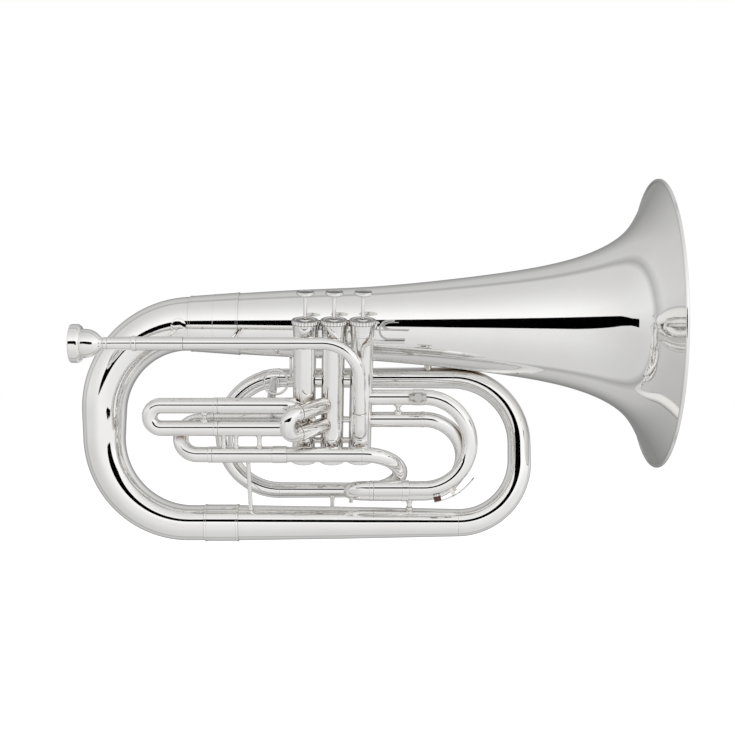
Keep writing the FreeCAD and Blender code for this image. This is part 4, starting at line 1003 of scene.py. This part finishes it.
def make_receiver():
    """The mouthpiece's receiver and the sleeve that joins it to the leadpipe."""
    length = LEAD_SLEEVE_END_X - RECEIVER_END_X
    sleeve = [(0.05, LEAD_SLEEVE_R - 1.2), (0.05, LEAD_SLEEVE_R), (length - 1.6, LEAD_SLEEVE_R),
              (length - 1.6, LEAD_SLEEVE_R + 0.25), (length, LEAD_SLEEVE_R + 0.25),
              (length, LEAD_R - 0.2)]
    parts = [(sleeve, at(RECEIVER_END_X, LEAD_LEVEL), RIGHT)]
    lathe("leadpipe_socket", "leadpipe_sleeve", parts, 0.25, 80)
    length = RECEIVER_END_X - RECEIVER_X
    receiver = [(0.0, 5.22), (0.0, 5.9), (0.6, 6.3), (2.4, 6.3), (3.0, 6.0), (length - 5.0, 6.6),
                (length - 4.2, 7.4), (length - 1.2, 7.4), (length - 0.4, 6.9), (length, 6.9),
                (length, 4.52)]
    parts = [(receiver, at(RECEIVER_X, LEAD_LEVEL), RIGHT)]
    lathe("shank_receiver", "mouthpiece_receiver", parts, 0.4, 80)


def make_mouthpiece():
    """A deep cup with a rounded rim, a throat and a tapered shank."""
    rim = [(1.2, 16.2), (0.3, 17.0), (0.0, 17.8), (0.6, 18.4), (1.8, 18.6), (7.6, 18.6), (9.6, 17.6)]
    cup = [(11.0, 16.0), (11.4, 14.0), (16.3, 13.9), (20.4, 13.0), (24.0, 11.2), (27.0, 8.6), (29.0, 6.3)]
    shank = [(30.0, 5.4), (31.1, 5.5), (31.9, 6.1), (33.9, 6.1), (34.6, 5.5), (35.2, 5.15),
             (MOUTHPIECE_LENGTH, 4.5)]
    backbore = [(MOUTHPIECE_LENGTH, 3.9), (39.8, 3.4), (32.6, 3.2), (27.6, 3.9)]
    bowl = [(23.5, 6.4), (19.0, 9.2), (12.7, 11.4), (5.4, 12.5), (2.4, 12.9), (1.0, 13.7), (0.3, 14.6),
            (0.6, 15.6)]
    parts = [(rim + cup + shank + backbore + bowl, at(MOUTHPIECE_RIM_X, LEAD_LEVEL), RIGHT)]
    lathe("mouthpiece_cup", "mouthpiece", parts, 2.2, 128, body="mouthpiece")


# ---------------- posts and wire

def post_into(skin, start, end, skirt_start, skirt_end, radius, waist):
    """A turned post; the skirts are how far its soldered feet reach from each end."""
    length = (end - start).length
    middle = length / 2
    profile = [(0.0, 0.0), (0.0, radius), (skirt_start, radius), (skirt_start + 0.9, radius * 0.78),
               (middle - 0.8, waist), (middle + 0.8, waist), (length - skirt_end - 0.9, radius * 0.78),
               (length - skirt_end, radius), (length, radius), (length, 0.0)]
    lathe_into(skin, profile, start, end - start, 0.8, 48)


def make_posts():
    """The posts soldered between tubes: where, between which levels, skirts, radius and waist."""
    top_level = Vector((0, TOP_BRANCH_Y, TOP_BRANCH_Z))
    posts = [(x, FIRST_LOWER, LONG_LEVEL, 8.6, 8.6, 3.0, 2.0) for x in (-434.5, -422.5, -399.7)]
    posts += [(-411.3, LONG_LEVEL, BOTTOM_LEVEL, 8.8, 18.6, 2.6, 2.2),
              (-329.6, SPIRAL_LEVEL, BOTTOM_LEVEL, 8.8, 17.0, 2.9, 2.1),
              (-251.3, INNER_BOTTOM, BOTTOM_LEVEL, 8.6, 16.6, 3.5, 2.2),
              (-263.3, OUTER_TOP, INNER_TOP, 8.4, 8.4, 4.2, 2.0),
              (-389.0, top_level, FIRST_UPPER, 11.0, 9.0, 5.0, 4.2)]
    skin = Skin()
    for x, start, end, skirt_start, skirt_end, radius, waist in posts:
        post_into(skin, at(x, start), at(x, end), skirt_start, skirt_end, radius, waist)
    make_object("soldered_posts", skin, "tube_braces")


def make_slide_posts():
    """The first slide's post, and the beaded post between the second slide's sleeves."""
    skin = Skin()
    post_x = -453.0
    post_into(skin, at(post_x, FIRST_UPPER), at(post_x, FIRST_LOWER), 8.2, 8.2, 4.2, 2.0)
    make_object("first_crook_post", skin, "first_slide_brace", body="first_valve_slide")
    skin = Skin()
    reach = SECOND_WAY * 27.0
    start = on_valve(1, SECOND_UPPER_DEPTH) + reach
    end = on_valve(1, SECOND_LOWER_DEPTH) + reach
    middle = (end - start).length / 2
    ball = [(0.0, 0.0), (0.0, 2.2), (middle - 2.6, 1.9), (middle - 2.0, 2.6), (middle - 1.0, 3.2),
            (middle + 1.0, 3.2), (middle + 2.0, 2.6), (middle + 2.6, 1.9), (2 * middle, 2.2),
            (2 * middle, 0.0)]
    lathe_into(skin, ball, start, end - start, 0.8, 48)
    make_object("second_sleeve_post", skin, "second_slide_brace")


def make_finger_ring():
    """The wire ring for the left hand and its stub."""
    skin = Skin()
    start = RING_CENTRE + RIGHT * RING_BEND
    loop = Run(start, UP, RING_WIRE_R).bend(RING_BEND, 360, LEFT)
    bar_into(skin, loop)
    stub = [(0.0, 0.0), (0.0, 1.9), (2.0, 1.9), (3.2, 1.6), (9.0, 1.9), (10.0, 2.6), (18.0, 2.6), (18.0, 0.0)]
    lathe_into(skin, stub, start - RIGHT * 0.6, RIGHT, 0.5, 32)
    make_object("hand_ring", skin, "finger_ring", TRIM)


# ---------------- pieces kept from the part

def dress(node, material, softness=0.0):
    """Gives a kept piece its finish and softens its edges."""
    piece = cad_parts[node]
    piece.data.materials.clear()
    piece.data.materials.append(material)
    if softness:
        weld = piece.modifiers.new("weld", "WELD")
        weld.merge_threshold = 0.00001
        bevel = piece.modifiers.new("edges", "BEVEL")
        bevel.width = softness * MM
        bevel.segments = 2
        bevel.limit_method = "ANGLE"
        bevel.angle_limit = math.radians(35.0)
        bevel.harden_normals = True


def dress_kept_pieces():
    """Finishes for the pieces whose shape comes straight from the part."""
    dress("pinky_hook", CAST, 0.8)
    dress("lyre_holder", CAST, 1.4)
    dress("lyre_thumbscrew", CAST, 0.8)
    for node in ("bell_braces", "water_key_nipple",
                 "water_key_saddle", "water_key_lever", "water_key_pin"):
        dress(node, SILVER, 0.2)
    dress("water_key_cork", CORK, 0.3)
    for number in ("1", "2", "3"):
        dress("piston_" + number, STEEL)
        dress("piston_spring_" + number, SPRING)


# ---------------- studio

def grey_ramp(tree, value, stops):
    """Greys along a direction that runs from -1 to 1, as (position, grey) stops."""
    ramp = add_node(tree, "ShaderNodeValToRGB")
    tree.links.new(remap(tree, value, -1.0, 1.0, 0.0, 1.0, "LINEAR"), ramp.inputs["Fac"])
    elements = ramp.color_ramp.elements
    for index, (position, grey) in enumerate(stops):
        if index == 0:
            element = elements[0]
        elif index == len(stops) - 1:
            element = elements[-1]
        else:
            element = elements.new(position)
        element.position = position
        element.color = (grey, grey, grey, 1)
    return ramp.outputs["Color"]


def studio_world():
    """White to the camera; soft whites all round in the reflections, greyer behind the horn."""
    world = bpy.data.worlds.new("studio")
    bpy.context.scene.world = world
    world.use_nodes = True
    tree = world.node_tree
    tree.nodes.clear()
    coords = add_node(tree, "ShaderNodeTexCoord")
    split = add_node(tree, "ShaderNodeSeparateXYZ")
    tree.links.new(coords.outputs["Generated"], split.inputs["Vector"])
    stops = ((0.0, 0.66), (0.25, 0.80), (0.42, 0.84), (0.50, 0.92), (0.58, 1.04), (0.70, 0.98), (1.0, 0.66))
    height = grey_ramp(tree, split.outputs["Z"], stops)
    stops = ((0.0, 1.0), (0.53, 1.0), (0.60, 0.62), (0.68, 0.86), (0.80, 0.74), (0.97, 0.30))
    behind = grey_ramp(tree, split.outputs["Y"], stops)
    aside = remap(tree, split.outputs["X"], -0.95, -0.15, 0.78, 1.0)
    shade = add_node(tree, "ShaderNodeVectorMath", operation="SCALE")
    tree.links.new(height, shade.inputs[0])
    tree.links.new(combine(tree, "MULTIPLY", behind, aside), shade.inputs["Scale"])
    path = add_node(tree, "ShaderNodeLightPath")
    surround = add_node(tree, "ShaderNodeBackground", Strength=1.0)
    tree.links.new(shade.outputs["Vector"], surround.inputs["Color"])
    white = add_node(tree, "ShaderNodeBackground", Color=(1, 1, 1, 1), Strength=1.0)
    pick = add_node(tree, "ShaderNodeMixShader")
    tree.links.new(path.outputs["Is Camera Ray"], pick.inputs["Fac"])
    tree.links.new(surround.outputs[0], pick.inputs[1])
    tree.links.new(white.outputs[0], pick.inputs[2])
    output = add_node(tree, "ShaderNodeOutputWorld")
    tree.links.new(pick.outputs[0], output.inputs["Surface"])


def studio_sheet(name, points, faces, material):
    """A flat piece of the studio, in metres."""
    mesh = bpy.data.meshes.new(name)
    mesh.from_pydata(points, [], faces)
    mesh.materials.append(material)
    sheet = bpy.data.objects.new(name, mesh)
    bpy.context.scene.collection.objects.link(sheet)
    return sheet


def dark_strip():
    """A black strip in front of the horn; it only shows in reflections.

    Each edge is ((x, y), (low z, high z)). The left end is bent towards the horn.
    """
    edges = (((-0.745, -0.36), (-0.06, 0.045)), ((-0.86, -0.60), (-0.055, 0.08)),
             ((-0.60, -0.60), (-0.058, 0.11)), ((-0.30, -0.60), (-0.12, 0.10)),
             ((-0.06, -0.60), (-0.12, 0.095)))
    points = [(x, y, z) for (x, y), heights in edges for z in heights]
    faces = [(2 * i, 2 * i + 2, 2 * i + 3, 2 * i + 1) for i in range(len(edges) - 1)]
    material, _, surface = new_material("black_card")
    surface.inputs["Base Color"].default_value = (0, 0, 0, 1)
    surface.inputs["Specular IOR Level"].default_value = 0.0
    card = studio_sheet("dark_strip", points, faces, material)
    card.visible_camera = False
    card.visible_diffuse = False
    card.visible_shadow = False


def make_floor():
    """A pale floor, left out of the reflections."""
    level = -0.36
    reach = 14.0
    material, _, surface = new_material("pale_floor")
    surface.inputs["Base Color"].default_value = (0.93, 0.93, 0.925, 1)
    surface.inputs["Roughness"].default_value = 0.9
    surface.inputs["Specular IOR Level"].default_value = 0.1
    surface.inputs["Emission Color"].default_value = (1, 1, 1, 1)
    surface.inputs["Emission Strength"].default_value = 0.38
    corners = [(x, y, level) for x, y in ((-reach, -reach), (reach, -reach), (reach, reach), (-reach, reach))]
    floor = studio_sheet("floor", corners, [(0, 1, 2, 3)], material)
    floor.visible_glossy = False


def soft_light(name, place, aim, width, power):
    """A wide soft lamp that only lights, and doesn't show in the metal."""
    light = bpy.data.lights.new(name, "AREA")
    light.shape = "SQUARE"
    light.size = width
    light.energy = power
    lamp = bpy.data.objects.new(name, light)
    lamp.location = place
    lamp.rotation_mode = "QUATERNION"
    lamp.rotation_quaternion = (Vector(aim) - Vector(place)).to_track_quat("-Z", "Y")
    lamp.visible_glossy = False
    lamp.visible_camera = False
    bpy.context.scene.collection.objects.link(lamp)


def make_camera():
    """A level camera in front of the horn, looking along +Y."""
    camera = bpy.data.cameras.new("camera")
    camera.sensor_width = 36.0
    camera.lens = 66.35
    camera.clip_start = 0.05
    camera.clip_end = 60.0
    viewer = bpy.data.objects.new("camera", camera)
    viewer.location = (-0.2935, -1.377, -0.0445)
    viewer.rotation_euler = (math.radians(90.0), 0.0, 0.0)
    bpy.context.scene.collection.objects.link(viewer)
    bpy.context.scene.camera = viewer


def make_studio():
    """Surroundings, floor, lamp, strip and camera."""
    studio_world()
    make_floor()
    soft_light("overhead", (-0.3, -0.4, 2.2), (-0.3, 0.0, -0.1), 2.4, 26.0)
    dark_strip()
    make_camera()
    bpy.context.scene.view_settings.view_transform = "Standard"


make_bell()
make_large_tubing()
make_bell_ferrule()
make_lower_ferrule()
make_small_ferrules()
make_caps()
for valve in range(VALVE_COUNT):
    make_valve(valve)
make_valve_ties()
make_slides()
make_leadpipe()
make_receiver()
make_mouthpiece()
make_posts()
make_slide_posts()
make_finger_ring()
dress_kept_pieces()
make_studio()
